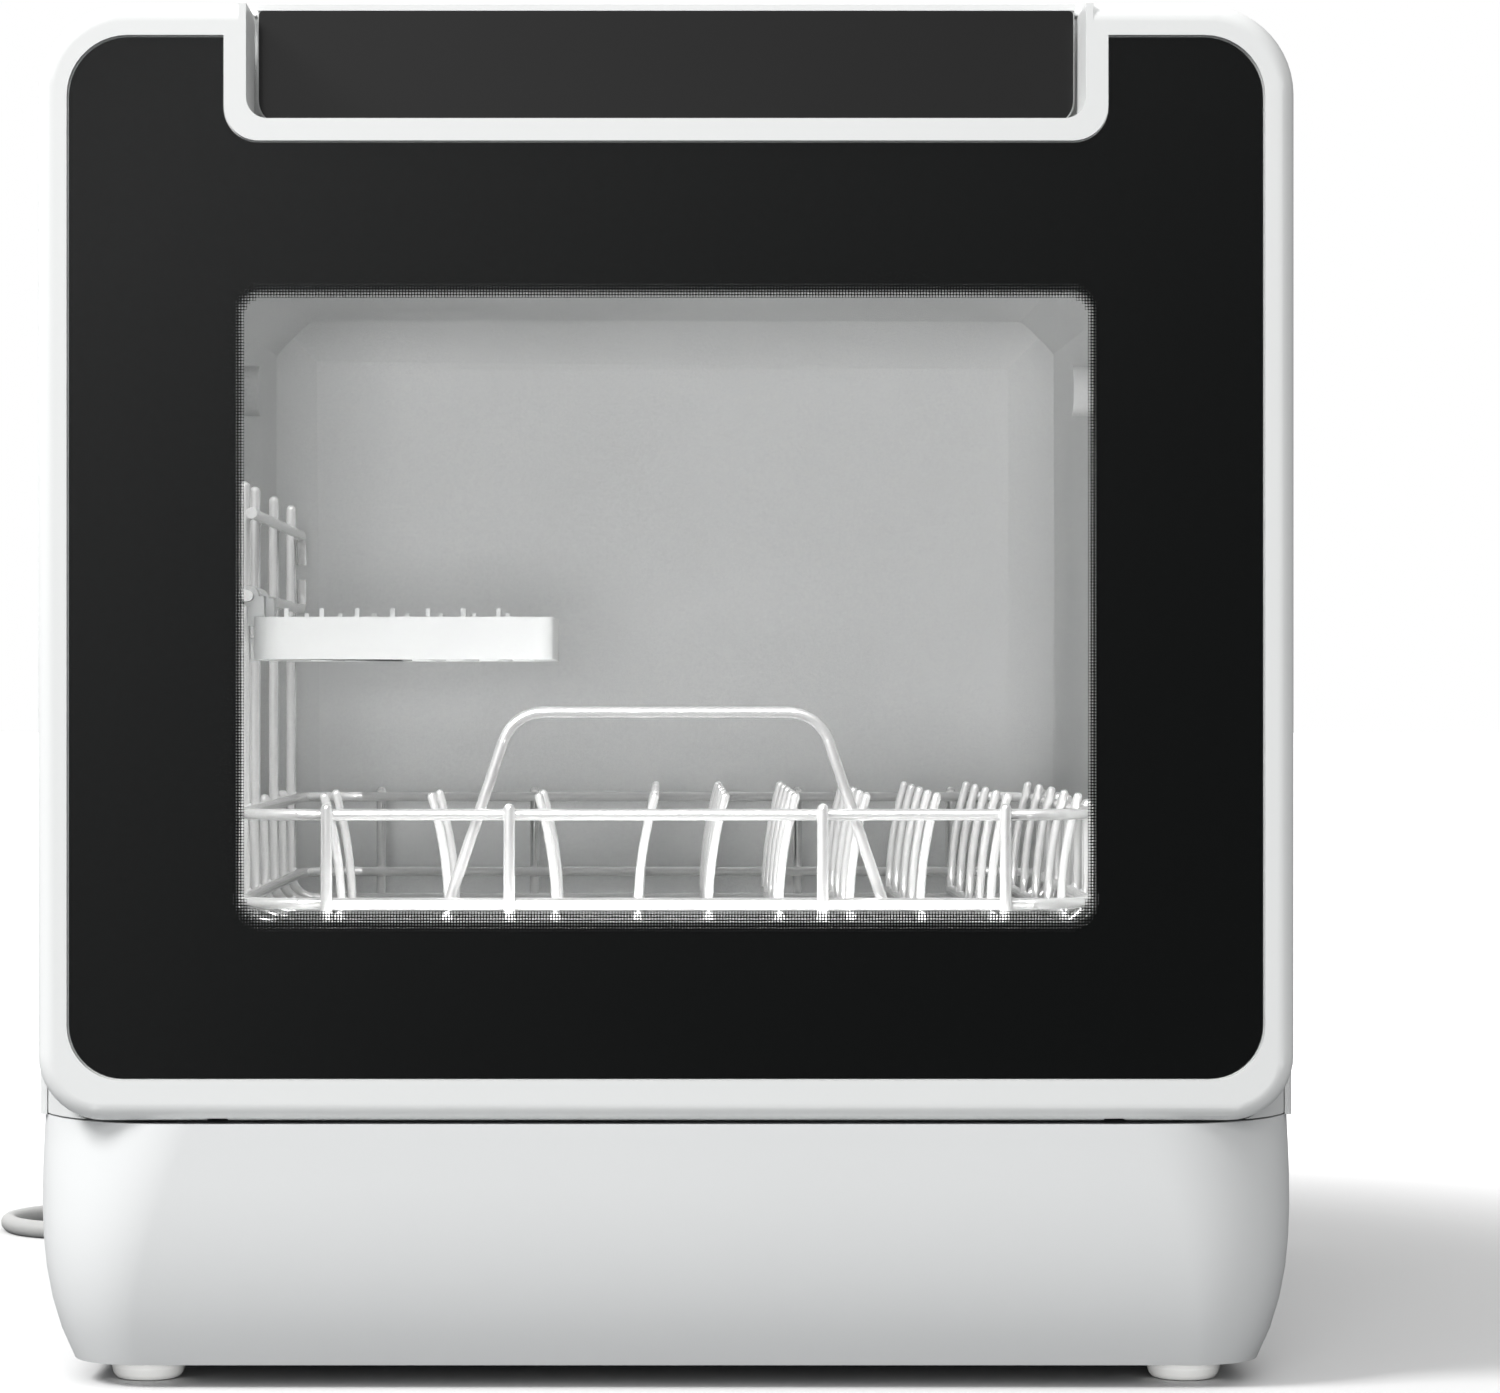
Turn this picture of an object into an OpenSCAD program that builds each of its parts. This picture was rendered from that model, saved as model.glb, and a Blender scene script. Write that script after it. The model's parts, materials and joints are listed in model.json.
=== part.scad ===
// Countertop dishwasher: a lofted base, a boxy cabinet, a drop-down door with a glass panel and a
// wire basket that slides out as the door comes down.
// Frame: X to the right, Y to the back, Z up. Origin: middle of the footprint, on the worktop.
// Inside the file most places are given as a depth behind the door's face and a height above the
// worktop, and plan(), face() and side() turn flat outlines into that frame.

/* [Overall] */
// Width of the base and of the cabinet
body_w = 428; // [404:1:460]
// Depth from the door's face to the back panel
body_d = 430; // [420:1:480]
// Height from the worktop to the top of the cabinet
body_h = 468; // [462:1:500]
// How far the hose connectors stand out of the back panel
connector_out = 16; // [12:1:24]

/* [Base] */
// Height of a foot
foot_h = 8; // [5:0.5:14]
// Diameter of a foot
foot_d = 25; // [18:1:34]
// Distance of a foot's centre from the side of the base
foot_side = 37; // [30:1:60]
// Distance of a foot's centre from the front and the back of the base
foot_end = 40; // [34:1:70]
// Height of the base moulding
base_h = 82; // [78:1:100]
// How far the base draws in at its bottom
base_draw = 12.5; // [4:0.5:18]
// Steepness of that draw, higher keeps the walls upright for longer
base_curve = 3.3; // [1.5:0.1:5]
// Front corner radius at the top of the base
base_front_r = 55; // [30:1:70]
// Front corner radius at the bottom of the base
base_low_r = 24; // [20:1:50]
// Back corner radius of the base
base_back_r = 20; // [16:1:40]
// Wall of the base moulding
base_wall = 2.5; // [2:0.1:4]
// Thickness of the floor plate and of the deck
plate_t = 3; // [2:0.1:4]

/* [Cabinet] */
// Radius of the cabinet's top edges
cabinet_r = 34; // [26:1:45]
// Wall of the outer cover
cabinet_wall = 2.5; // [2:0.1:4]
// Rounding of the cover's front edge
cabinet_edge = 2; // [1:0.1:2]
// Gap between the closed door and the cover
cabinet_gap = 2; // [1.5:0.1:4]
// Thickness of the back panel
back_t = 2.5; // [2:0.1:4]
// Thickness of the face frame round the tub mouth
frame_t = 4; // [3:0.1:5]
// Distance of the face frame behind the cover's front edge
frame_back = 4; // [3:0.1:6]

/* [Tub] */
// Inside width
tub_w = 330; // [316:1:340]
// Inside height
tub_h = 288; // [280:1:292]
// Inside depth
tub_d = 340; // [335:1:345]
// Height of the tub's floor above the deck
tub_lift = 14; // [12:0.5:16]
// Height of the sill above the tub's floor
sill_h = 18; // [12:0.5:22]
// Wall
tub_wall = 2.5; // [2:0.1:3]
// Blend between the back wall and the walls next to it
tub_back_r = 40; // [30:1:50]
// Blend between the ceiling and the side walls
tub_top_r = 34; // [26:1:40]
// Blend between the floor and the side walls
tub_low_r = 30; // [24:1:36]
// Length of a boss on the side wall
boss_l = 15; // [8:1:15]
// Diameter of a boss on the side wall
boss_d = 18.5; // [12:0.5:24]
// Height of the bosses above the tub's floor
boss_z = 242; // [236:1:250]
// Depth of the bosses behind the tub's mouth
boss_back = 119; // [90:1:140]
// Width of a runner
runner_w = 33; // [31:1:36]
// Thickness of a runner
runner_t = 4; // [3:0.5:6]

/* [Door] */
// How much narrower the door is than the base, at each side
door_inset = 4; // [3:0.5:6]
// How far the door's top is below the top of the cabinet
door_drop = 4; // [3:0.5:8]
// Gap between the door and the base
door_gap = 1; // [0.8:0.1:2]
// Depth of the white frame moulding
frame_d = 33; // [32:0.5:36]
// Thickness of the door's liner
liner_t = 3; // [2.5:0.1:3.5]
// Radius of the door's top corners
door_top_r = 30; // [26:1:34]
// Radius of the door's bottom corners
door_low_r = 22; // [22:1:30]
// Rounding of the door's front edge, which is also where the hinge pin runs
door_edge_r = 6; // [6:0.1:7]
// Wall of the door frame
door_wall = 2.5; // [2:0.1:3]
// White border at the sides of the glass
border_side = 10.5; // [9:0.1:13]
// White border over the glass
border_top = 11; // [9:0.1:13]
// White border under the glass
border_low = 14; // [11:0.1:18]
// Thickness of the panes
glass_t = 3.2; // [3:0.1:4]
// Corner radius at the top of the glass
glass_top_r = 20; // [14:1:24]
// Corner radius at the bottom of the glass
glass_low_r = 18; // [12:1:22]
// Width of the clear window
window_w = 282; // [260:1:284]
// Height of the clear window
window_h = 205; // [180:1:210]
// Height of the window's bottom edge above the door's bottom edge
window_low = 70; // [66:1:80]

/* [Grip] */
// Width of the notch in the door
notch_w = 280; // [240:1:300]
// Depth of the notch below the door's top
notch_h = 38.4; // [36:0.2:42]
// Corner radius of the notch
notch_r = 7; // [5:0.5:9]
// White lip round the notch
lip_w = 7.8; // [6:0.1:9]
// How deep the grip pocket goes below the lip
pocket_h = 27.6; // [20:0.2:34]
// Thickness of the lip, from the door's face to the pocket
lip_t = 12; // [11:0.5:13]
// Wall of the grip pocket
pocket_wall = 2.5; // [2:0.1:3]

/* [Console] */
// Depth of the touch panel behind the door's face
console_d = 30; // [29:0.5:30]
// Thickness of the touch panel
console_t = 2; // [1.5:0.1:2.5]
// Gap between the touch panel and the notch, and under the console
console_gap = 1; // [0.8:0.1:1.4]
// Height of the white line over the touch panel
console_lip = 2; // [1:0.1:3]
// Bottom corner radius of the touch panel
console_r = 9; // [5:0.5:10]

/* [Hinge] */
// Distance of the hinge brackets from the middle
hinge_x = 150; // [140:1:160]
// Width of a bracket
bracket_w = 6; // [5:0.5:8]
// Diameter of a hinge pin
pin_d = 3; // [2.5:0.1:4]
// Length of a hinge pin
pin_l = 22; // [18:1:26]
// Running clearance round a pin
pin_gap = 0.05; // [0.03:0.01:0.1]

/* [Latch] */
// Width of the striker's tongue
tongue_w = 18; // [14:1:22]
// Length of the tongue behind the door
tongue_l = 20; // [18:1:22]
// Diameter of the door switch's plunger
plunger_d = 6; // [5:0.5:8]

/* [Dispenser] */
// Width of the dispenser
dispenser_w = 140; // [120:1:150]
// Height of the dispenser
dispenser_h = 30; // [26:1:30]
// Depth of the dispenser
dispenser_d = 16; // [12:0.5:18]
// Width of the sliding lid
dispenser_lid_w = 64; // [56:1:66]

/* [Basket] */
// Wire of the rims and the uprights
wire_d = 4; // [3.4:0.1:4.4]
// Wire of the tines
tine_d = 3.2; // [2.8:0.1:3.6]
// Share of a wire's diameter that sinks into the next one at a weld
weld_sink = 0.15; // [0.1:0.01:0.2]
// Clearance between the basket and the tub's side walls
basket_gap = 11; // [10:0.5:13]
// Depth of the basket's front wires behind the door's face
basket_front_d = 50; // [50:0.5:52]
// Length of the basket from its front wires to its back wires
basket_l = 300; // [296:1:304]
// Height of the basket's lowest wires above the tub's floor
basket_lift = 44; // [42:0.5:46]
// Height of the lower rim above the lowest wires
rim_low = 13.3; // [12:0.1:16]
// Height of the upper rim above the lowest wires
rim_high = 44; // [40:0.5:48]
// How far the uprights stand above the upper rim
upright_over = 4; // [3:0.5:8]
// Corner radius of the rims
rim_r = 22; // [18:1:28]
// Bend at the foot of the front and back uprights
upright_bend = 14; // [12:0.5:15]
// Bend at the foot of the side uprights
side_bend = 10; // [8:0.5:10]
// Spacing of the cross wires
cross_pitch = 40; // [38:0.5:42]
// Distance from the front wires to the first cross wire
cross_first = 34; // [30:0.5:36]
// Number of cross wires
cross_n = 7; // [7:1:7]
// Spacing of the plate tines across the basket
tine_pitch = 25; // [22:0.5:25]
// Height of a tine
tine_h = 42; // [36:0.5:44]
// How far a tine's tip leans
tine_lean = 6; // [3:0.5:8]
// Distance between the tines along a row
tine_step = 55; // [50:1:58]
// Height of the handle above the lower rim
handle_h = 66; // [56:1:70]
// Width of the handle at its feet
handle_low_w = 151; // [140:1:160]
// Width of the handle at its top
handle_top_w = 106; // [96:1:112]
// Bend of the handle
handle_r = 15; // [12:1:18]
// Travel of the basket
basket_travel = 110; // [90:1:110]

/* [Rack and shelf] */
// Height of the side rack above the basket's upper rim
rack_h = 118.6; // [112:0.2:122]
// Distance of the rack's top wire from the rack's top
rack_top = 12; // [8:0.5:16]
// Height of the shelf's hinge wire above the basket's upper rim
rack_mid = 76.6; // [72:0.2:80]
// Width of the cup shelf
shelf_w = 106; // [90:1:108]
// Depth of the cup shelf
shelf_l = 95; // [88:1:100]
// Height of the cup shelf
shelf_t = 15; // [12:0.5:16]
// Distance of the shelf's top below its hinge wire
shelf_drop = 7.6; // [7:0.1:9]
// Gap between the shelf and the rack
shelf_gap = 4; // [3.5:0.1:4]
// Wall of the shelf
shelf_wall = 3; // [2.4:0.1:4]
// Spacing of the teeth and of the slats
comb_pitch = 12.5; // [10:0.5:14]
// Height of a tooth
comb_h = 3; // [2:0.5:5]

/* [Washing] */
// Length of the spray arm
arm_l = 260; // [230:2:264]
// Thickness of the spray arm's blades
arm_t = 9; // [7:0.5:10]
// Diameter of the post that the spray arm turns on
post_d = 18; // [16:0.5:22]
// Running clearance of the spray arm on its post
arm_gap = 0.08; // [0.05:0.01:0.1]
// Diameter of the sump
sump_d = 74; // [70:1:76]
// Depth of the sump below the tub's floor
sump_h = 43; // [38:1:48]
// Diameter of the filter cup
filter_d = 48; // [42:1:52]
// Diameter of the float dome
float_d = 28; // [22:1:32]
// Travel of the float
float_travel = 6; // [4:0.5:8]
// Diameter of the wash pump's motor
pump_d = 60; // [50:1:62]
// Outside diameter of the spray hose
spray_hose_d = 24; // [20:1:26]
// Outside diameter of the drain hose
drain_hose_d = 18; // [16:1:20]

/* [Water and air] */
// Width of the fill lid
lid_w = 56; // [48:1:60]
// Thickness of the fill lid
lid_t = 3; // [2.5:0.1:4]
// Distance of the fill opening from the middle
fill_x = 140; // [136:1:144]
// Depth of the fill opening behind the door's face
fill_d = 330; // [320:1:340]
// Wall of the water tank
tank_wall = 2; // [1.6:0.1:3]
// Outside diameter of the inlet's thread
inlet_d = 26.4; // [26:0.1:27]
// Outside diameter of the drain spigot
spigot_d = 18; // [16:0.5:20]
// Size of the drying fan
fan_w = 62; // [56:1:68]
// Thickness of the drying fan
fan_t = 18; // [14:1:22]
// Number of blades of the drying fan
fan_n = 7; // [5:1:9]

/* [Lead] */
// Diameter of the mains lead
cord_d = 7.4; // [6.4:0.1:8]
// Mean diameter of the coil
coil_d = 82; // [78:1:88]

/* [Hidden] */
$fn = 48;

// Clearance between pieces that fit into each other
fit = 0.3;
// How far a cutting shape runs past the face it cuts
over = 1;

// Heights above the worktop
base_top = foot_h + base_h;
door_low = base_top + door_gap;
door_top = body_h - door_drop;
door_h = door_top - door_low;
tub_floor = base_top + tub_lift;
tub_top = tub_floor + tub_h;
sill = tub_floor + sill_h;
wrap_top = body_h - cabinet_wall;

// Depths behind the door's face
front_y = -(body_d + connector_out) / 2;
door_back = frame_d + liner_t;
wrap_front = door_back + cabinet_gap;
frame_front = wrap_front + frame_back;
tub_front = frame_front + frame_t;
tub_back = tub_front + tub_d;
panel_front = body_d - back_t;

// Widths
door_w = body_w - 2 * door_inset;
inner_w = body_w - 2 * cabinet_wall;

// The door's axis lies at the centre of the rounded front edge
pivot_d = door_edge_r;
pivot_z = door_low + door_edge_r;

// Turns flat outlines into the frame: plan() has x and depth, face() has x and height, side() has
// depth and height
module plan() {
  translate([0, front_y, 0]) children();
}

module face() {
  plan() mirror([0, 1, -1]) children();
}

module side() {
  plan() rotate([90, 0, 90]) children();
}

module both_sides() {
  for (s = [0, 1]) mirror([s, 0, 0]) children();
}

// Outline of width w standing on y = 0, with its own radius for the low and the high corners
module round_outline(w, h, r_low, r_high) {
  translate([-w / 2, r_low]) square([w, h - r_low - r_high]);
  translate([r_low - w / 2, 0]) square([w - 2 * r_low, r_low]);
  translate([r_high - w / 2, h - r_high]) square([w - 2 * r_high, r_high]);
  for (s = [-1, 1]) {
    translate([s * (w / 2 - r_low), r_low]) circle(r_low);
    translate([s * (w / 2 - r_high), h - r_high]) circle(r_high);
  }
}

// The same with square low corners
module arch(w, h, r) {
  translate([-w / 2, 0]) square([w, h - r]);
  translate([r - w / 2, h - r]) square([w - 2 * r, r]);
  for (s = [-1, 1]) translate([s * (w / 2 - r), h - r]) circle(r);
}

// Sweeps a profile round a rounded outline. In the profile x is 0 at the outer edge and negative
// inwards, and y goes along the height of the extrusion.
module rim_sweep(w, h, r_low, r_high) {
  both_sides() {
    translate([w / 2, h - r_high, 0])
      rotate([90, 0, 0]) linear_extrude(h - r_low - r_high) children();
    rotate([0, 0, -90]) rotate([90, 0, 0]) linear_extrude(w / 2 - r_low) children();
    translate([0, h, 0])
      rotate([0, 0, 90]) rotate([90, 0, 0]) linear_extrude(w / 2 - r_high) children();
    translate([w / 2 - r_high, h - r_high, 0])
      rotate_extrude(angle = 90) translate([r_high, 0]) children();
    translate([w / 2 - r_low, r_low, 0])
      rotate([0, 0, -90]) rotate_extrude(angle = 90) translate([r_low, 0]) children();
  }
}

// The same over the sides and the top only
module arch_sweep(w, h, r) {
  both_sides() {
    translate([w / 2, h - r, 0]) rotate([90, 0, 0]) linear_extrude(h - r) children();
    translate([0, h, 0]) rotate([0, 0, 90]) rotate([90, 0, 0]) linear_extrude(w / 2 - r) children();
    translate([w / 2 - r, h - r, 0]) rotate_extrude(angle = 90) translate([r, 0]) children();
  }
}

// Box from one corner to the opposite one
module block(low, high) {
  translate(low) cube(high - low);
}

// Straight rod from a to b
module rod(a, b, d) {
  v = b - a;
  l = norm(v);
  translate(a) rotate([0, acos(v[2] / l), atan2(v[1], v[0])]) cylinder(h = l, d = d);
}

function unit(v) = v / norm(v);

// What a bend of radius r takes off the straight runs at corner i of a path
function bend_cut(path, i, r) =
  i == 0 || i == len(path) - 1 ? 0 :
  r * tan(acos(unit(path[i] - path[i - 1]) * unit(path[i + 1] - path[i])) / 2);

// How far a straight run reaches past its tangent point, and how much thinner a bend is than the
// run, so that the two meet square on
run_on = 0.15;
bend_less = 0.03;

// Wire, tube or hose that follows a path with round bends of radius r
module bent_wire(path, r, d) {
  n = len(path);
  for (i = [0:n - 2]) {
    way = unit(path[i + 1] - path[i]);
    start = bend_cut(path, i, r) - (i == 0 ? 0 : run_on);
    stop = bend_cut(path, i + 1, r) - (i == n - 2 ? 0 : run_on);
    rod(path[i] + way * start, path[i + 1] - way * stop, d);
  }
  for (i = [1:n - 2]) {
    into = unit(path[i] - path[i - 1]);
    out = unit(path[i + 1] - path[i]);
    z = unit(cross(into, out));
    x = cross(into, z);
    hub = path[i] - into * bend_cut(path, i, r) - x * r;
    multmatrix([
      [x[0], into[0], z[0], hub[0]],
      [x[1], into[1], z[1], hub[1]],
      [x[2], into[2], z[2], hub[2]],
      [0, 0, 0, 1]
    ]) rotate_extrude(angle = acos(into * out)) translate([r, 0]) circle(d = d - bend_less);
  }
}

// A place in the frame from x, depth and height
function at(x, d, z) = [x, front_y + d, z];

// ---------------------------------------------------------------- base

// Outline of the base at share t of the way down, drawn in by inset: points from the front right
// corner round to the front left one
corner_steps = 8;

function base_inset(t) = base_draw * pow(t, base_curve);

function base_corner(x, d, r, from) = [
  for (i = [0:corner_steps])
    let (a = from + 90 * i / corner_steps) [x + r * cos(a), d + r * sin(a)]
];

function base_ring(t, inset) =
  let (
    cut = base_inset(t) + inset,
    x = body_w / 2 - cut,
    rf = base_front_r + (base_low_r - base_front_r) * t - inset,
    rb = base_back_r - inset
  )
  concat(
    base_corner(x - rf, cut + rf, rf, -90),
    base_corner(x - rb, body_d - cut - rb, rb, 0),
    base_corner(-x + rb, body_d - cut - rb, rb, 90),
    base_corner(-x + rf, cut + rf, rf, 180)
  );

// Solid from a closed loop of rings: each ring is joined to the next and the last to the first
module ring_loop(rings) {
  n = len(rings);
  m = len(rings[0]);
  points = [for (ring = rings) for (p = ring) p];
  faces = [
    for (i = [0:n - 1]) for (j = [0:m - 1])
      let (
        a = i * m + j,
        b = i * m + (j + 1) % m,
        c = (i + 1) % n * m + (j + 1) % m,
        d = (i + 1) % n * m + j
      ) each [[a, c, b], [a, d, c]]
  ];
  polyhedron(points, faces);
}

base_steps = 8;

module base_shell() {
  down = [for (i = [0:base_steps]) i / base_steps];
  up = [for (i = [0:base_steps]) 1 - i / base_steps];
  outer = [for (t = up) [for (p = base_ring(t, 0)) [p[0], p[1], base_top - base_h * t]]];
  inner = [for (t = down) [for (p = base_ring(t, base_wall)) [p[0], p[1], base_top - base_h * t]]];
  color("gainsboro") plan() ring_loop(concat(outer, inner));
}

module base_floor() {
  color("gray") plan() translate([0, 0, foot_h])
    linear_extrude(plate_t) polygon(base_ring(1, base_wall + fit));
}

module chassis_deck() {
  color("silver") plan() difference() {
    translate([0, 0, base_top - plate_t])
      linear_extrude(plate_t) polygon(base_ring(0, base_wall + fit));
    translate([sump_x, sump_at, base_top - plate_t - over])
      cylinder(h = plate_t + 2 * over, d = sump_d + 2 * sump_wall + 4);
    translate([0, hub_at, base_top - plate_t - over])
      cylinder(h = plate_t + 2 * over, d = spray_hose_d + 2);
    translate([drain_x, riser_at, base_top - plate_t - over])
      cylinder(h = plate_t + 2 * over, d = drain_hose_d + 4);
  }
}

foot_base_r = foot_d / 2 - 1.5;

module feet() {
  color("white") for (sx = [-1, 1], d = [foot_end, body_d - foot_end])
    plan() translate([sx * (body_w / 2 - foot_side), d, 0]) rotate_extrude() polygon([
      [0, 0], [foot_base_r - 1.5, 0], [foot_base_r, 0.6], [foot_base_r + 1, 2],
      [foot_d / 2, 4], [foot_d / 2, foot_h], [0, foot_h]
    ]);
}

// ---------------------------------------------------------------- cabinet

screw_d = 3;
screw_head_d = 7.2;
screw_head_h = 1.6;
screw_l = 10;
screw_boss_d = 12;
screw_x = inner_w / 2 - screw_boss_d / 2 + 1;
screw_heights = [base_top + 25, (base_top + body_h) / 2, body_h - cabinet_r - 20];
fill_hole_w = lid_w + 12;
corner_gap = 1.5;
corner_lift = 0.6;

// Low front corners of the cover, which fill the space outside the door's rounded corners
module cover_corners() {
  intersection() {
    plan() translate([0, 0, base_top + corner_lift])
      linear_extrude(door_low_r) polygon(base_ring(0, 0));
    face() linear_extrude(frame_front - fit) difference() {
      translate([-body_w / 2, base_top]) square([body_w, door_low_r]);
      translate([0, door_low - corner_gap]) round_outline(
        door_w + 2 * corner_gap, door_h, door_low_r + corner_gap, door_top_r
      );
    }
  }
}

module cabinet_wrap() {
  wrap_profile = concat(
    [[0, body_d], [0, wrap_front + cabinet_edge]],
    [for (a = [22.5:22.5:67.5]) [
      cabinet_edge * (cos(a) - 1), wrap_front + cabinet_edge * (1 - sin(a))
    ]],
    [[-cabinet_edge, wrap_front], [-cabinet_wall, wrap_front], [-cabinet_wall, body_d]]
  );
  color("whitesmoke") difference() {
    union() {
      face() translate([0, base_top, 0])
        arch_sweep(body_w, body_h - base_top, cabinet_r) polygon(wrap_profile);
      for (sx = [-1, 1], z = screw_heights) face() translate([sx * screw_x, z, panel_front - screw_l])
        cylinder(h = screw_l, d = screw_boss_d);
      cover_corners();
    }
    for (sx = [-1, 1], z = screw_heights)
      face() translate([sx * screw_x, z, panel_front - screw_l - over])
        cylinder(h = screw_l + 2 * over, d = screw_d);
    plan() translate([-fill_x, fill_d, wrap_top - over])
      linear_extrude(cabinet_wall + 2 * over) square(fill_hole_w + 2 * fit, center = true);
  }
}

mouth_r = tub_low_r;

module front_frame() {
  h = wrap_top - fit - base_top;
  color("whitesmoke") face() translate([0, 0, frame_front]) difference() {
    linear_extrude(frame_t) translate([0, base_top]) arch(inner_w - 2 * fit, h, cabinet_r - cabinet_wall);
    translate([0, 0, -over]) linear_extrude(frame_t + 2 * over) {
      translate([0, sill]) round_outline(tub_w, tub_top - sill, mouth_r, tub_top_r);
      translate([-console_box_w / 2 - fit, console_box_low - fit])
        square([console_box_w + 2 * fit, console_box_h + 2 * fit]);
      translate([-slot_w / 2, slot_low]) square([slot_w, slot_h]);
      for (s = [-1, 1]) translate([s * hinge_x - bracket_w / 2 - fit, base_top - over])
        square([bracket_w + 2 * fit, pivot_z + arm_half + fit - base_top + over]);
    }
  }
}

vent_n = 9;
vent_pitch = 9;
vent_w = 70;
vent_x = 110;
vent_low = 350;

module back_panel() {
  color("lightgray") difference() {
    face() translate([0, base_top, panel_front]) linear_extrude(back_t)
      arch(inner_w - 2 * fit, wrap_top - fit - base_top, cabinet_r - cabinet_wall);
    face() for (i = [0:vent_n - 1])
      translate([vent_x - vent_w / 2, vent_low + i * vent_pitch, panel_front - over])
        cube([vent_w, 4, back_t + 2 * over]);
    for (sx = [-1, 1], z = screw_heights) face() translate([sx * screw_x, z, panel_front - over])
      cylinder(h = back_t + 2 * over, d = screw_d + 0.2);
    face() translate([-inlet_x, port_z, panel_front - over])
      cylinder(h = back_t + 2 * over, d = inlet_d + 2 * fit);
    face() translate([drain_x, port_z, panel_front - over])
      cylinder(h = back_t + 2 * over, d = spigot_d + 2 * fit);
    face() translate([-gland_x, gland_z, panel_front - over])
      cylinder(h = back_t + 2 * over, d = gland_neck_d);
  }
}

module back_screws() {
  color("silver") for (sx = [-1, 1], z = screw_heights) face() translate([sx * screw_x, z, 0]) {
    translate([0, 0, body_d]) cylinder(h = screw_head_h, d = screw_head_d);
    translate([0, 0, panel_front - screw_l + 2])
      cylinder(h = screw_l - 2 + back_t, d = screw_d);
  }
}

// ---------------------------------------------------------------- console

console_w = notch_w - 2 * console_gap;
notch_low = door_top - notch_h;
console_low = notch_low + console_gap;
console_box_w = console_w - 10;
console_box_low = console_low + 4;
console_box_h = body_h - 5 - console_box_low;
console_back = tub_front + 16;
console_wall = 2;

module console_housing() {
  color("whitesmoke") face() difference() {
    union() {
      translate([0, console_low, console_d + console_t])
        linear_extrude(wrap_front - console_d - console_t)
        round_outline(console_w, body_h - console_low, console_r, 2);
      translate([-console_w / 2, body_h - console_lip, console_d])
        cube([console_w, console_lip, console_t + over]);
      translate([-console_box_w / 2, console_box_low, wrap_front - over])
        cube([console_box_w, console_box_h, console_back - wrap_front + over]);
    }
    translate([
      console_wall - console_box_w / 2, console_box_low + console_wall, console_d + console_t + 2
    ]) cube([
      console_box_w - 2 * console_wall, console_box_h - 2 * console_wall, console_back
    ]);
  }
}

module control_glass() {
  color("black") face() translate([0, console_low + 0.5, console_d]) linear_extrude(console_t)
    round_outline(console_w - 1, body_h - console_lip - console_low - 0.6, console_r - 0.5, 1.5);
}

module control_board() {
  w = console_box_w - 2 * console_wall - 2 * fit;
  h = console_box_h - 2 * console_wall - 2 * fit;
  color("darkgreen") face() translate([0, console_box_low + console_wall + fit, 0]) {
    translate([-w / 2, 0, console_d + console_t + 5]) cube([w, h, 1.6]);
    for (x = [-90:36:90]) translate([x, h / 2 - 5, console_d + console_t + 6.5])
      cube([16, 10, 5]);
    for (x = [-110:44:110]) translate([x, h / 2, console_d + console_t + 2.2])
      cylinder(h = 3, d = 8);
  }
}

// ---------------------------------------------------------------- tub

// Rounded box grown by g, its mouth brought forward by f
module tub_body(g, f) {
  h = tub_h + 2 * g;
  d = tub_d + g + f;
  intersection() {
    face() translate([0, tub_floor - g, tub_front - f])
      linear_extrude(d) round_outline(tub_w + 2 * g, h, tub_low_r + g, tub_top_r + g);
    plan() translate([0, tub_front - f, tub_floor - g - over])
      linear_extrude(h + 2 * over) arch(tub_w + 2 * g, d, tub_back_r + g);
    side() translate([tub_front - f, tub_floor + tub_h / 2, -body_w / 2])
      linear_extrude(body_w) rotate(-90) arch(h, d, tub_back_r + g);
  }
}

sump_x = 60;
sump_at = 94;
sump_wall = 3;
hub_at = tub_front + tub_d / 2;
hub_base_d = 48;
float_x = 118;
float_at = 84;
float_post_d = 8;
float_post_h = 17;
fan_x = 70;
fan_at = 200;
fan_bore = fan_w - 6;
vent_hole_d = 44;
runner_top = tub_floor + basket_lift - wire_d / 2 - fit;

module tub() {
  color("lightgray") difference() {
    union() {
      difference() {
        tub_body(tub_wall, 0);
        tub_body(0, over);
      }
      both_sides() {
        side() translate([tub_front + boss_back, tub_floor + boss_z, tub_w / 2 - boss_l])
          cylinder(h = boss_l + tub_wall / 2, d = boss_d);
        plan() block(
          [tub_w / 2 - runner_w, tub_front, runner_top - runner_t],
          [tub_w / 2 + tub_wall / 2, tub_back - tub_back_r, runner_top]
        );
      }
      plan() translate([-float_x, float_at, tub_floor - tub_wall / 2])
        cylinder(h = float_post_h + tub_wall / 2, d = float_post_d);
    }
    plan() translate([sump_x, sump_at, tub_floor - tub_wall - over])
      cylinder(h = tub_wall + 2 * over, d = sump_d);
    plan() translate([0, hub_at, tub_floor - tub_wall - over])
      cylinder(h = tub_wall + 2 * over, d = hub_neck_d + 2 * fit);
    plan() translate([fan_x, fan_at, tub_top - over])
      cylinder(h = tub_wall + 2 * over, d = vent_hole_d);
  }
}

gasket_w = 8;
gasket_in = 2;
gasket_foot = 3;

module tub_gasket() {
  low = sill - gasket_in - gasket_w;
  h = tub_top - sill + 2 * (gasket_in + gasket_w);
  grow = gasket_in + gasket_w;
  color("dimgray") face() translate([0, low, 0])
    rim_sweep(tub_w + 2 * grow, h, mouth_r + grow, tub_top_r + grow) polygon([
      [0, frame_front], [0, frame_front - gasket_foot], [-2, door_back + fit],
      [2 - gasket_w, door_back + fit], [-gasket_w, frame_front - gasket_foot],
      [-gasket_w, frame_front]
    ]);
}

// ---------------------------------------------------------------- washing

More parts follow.
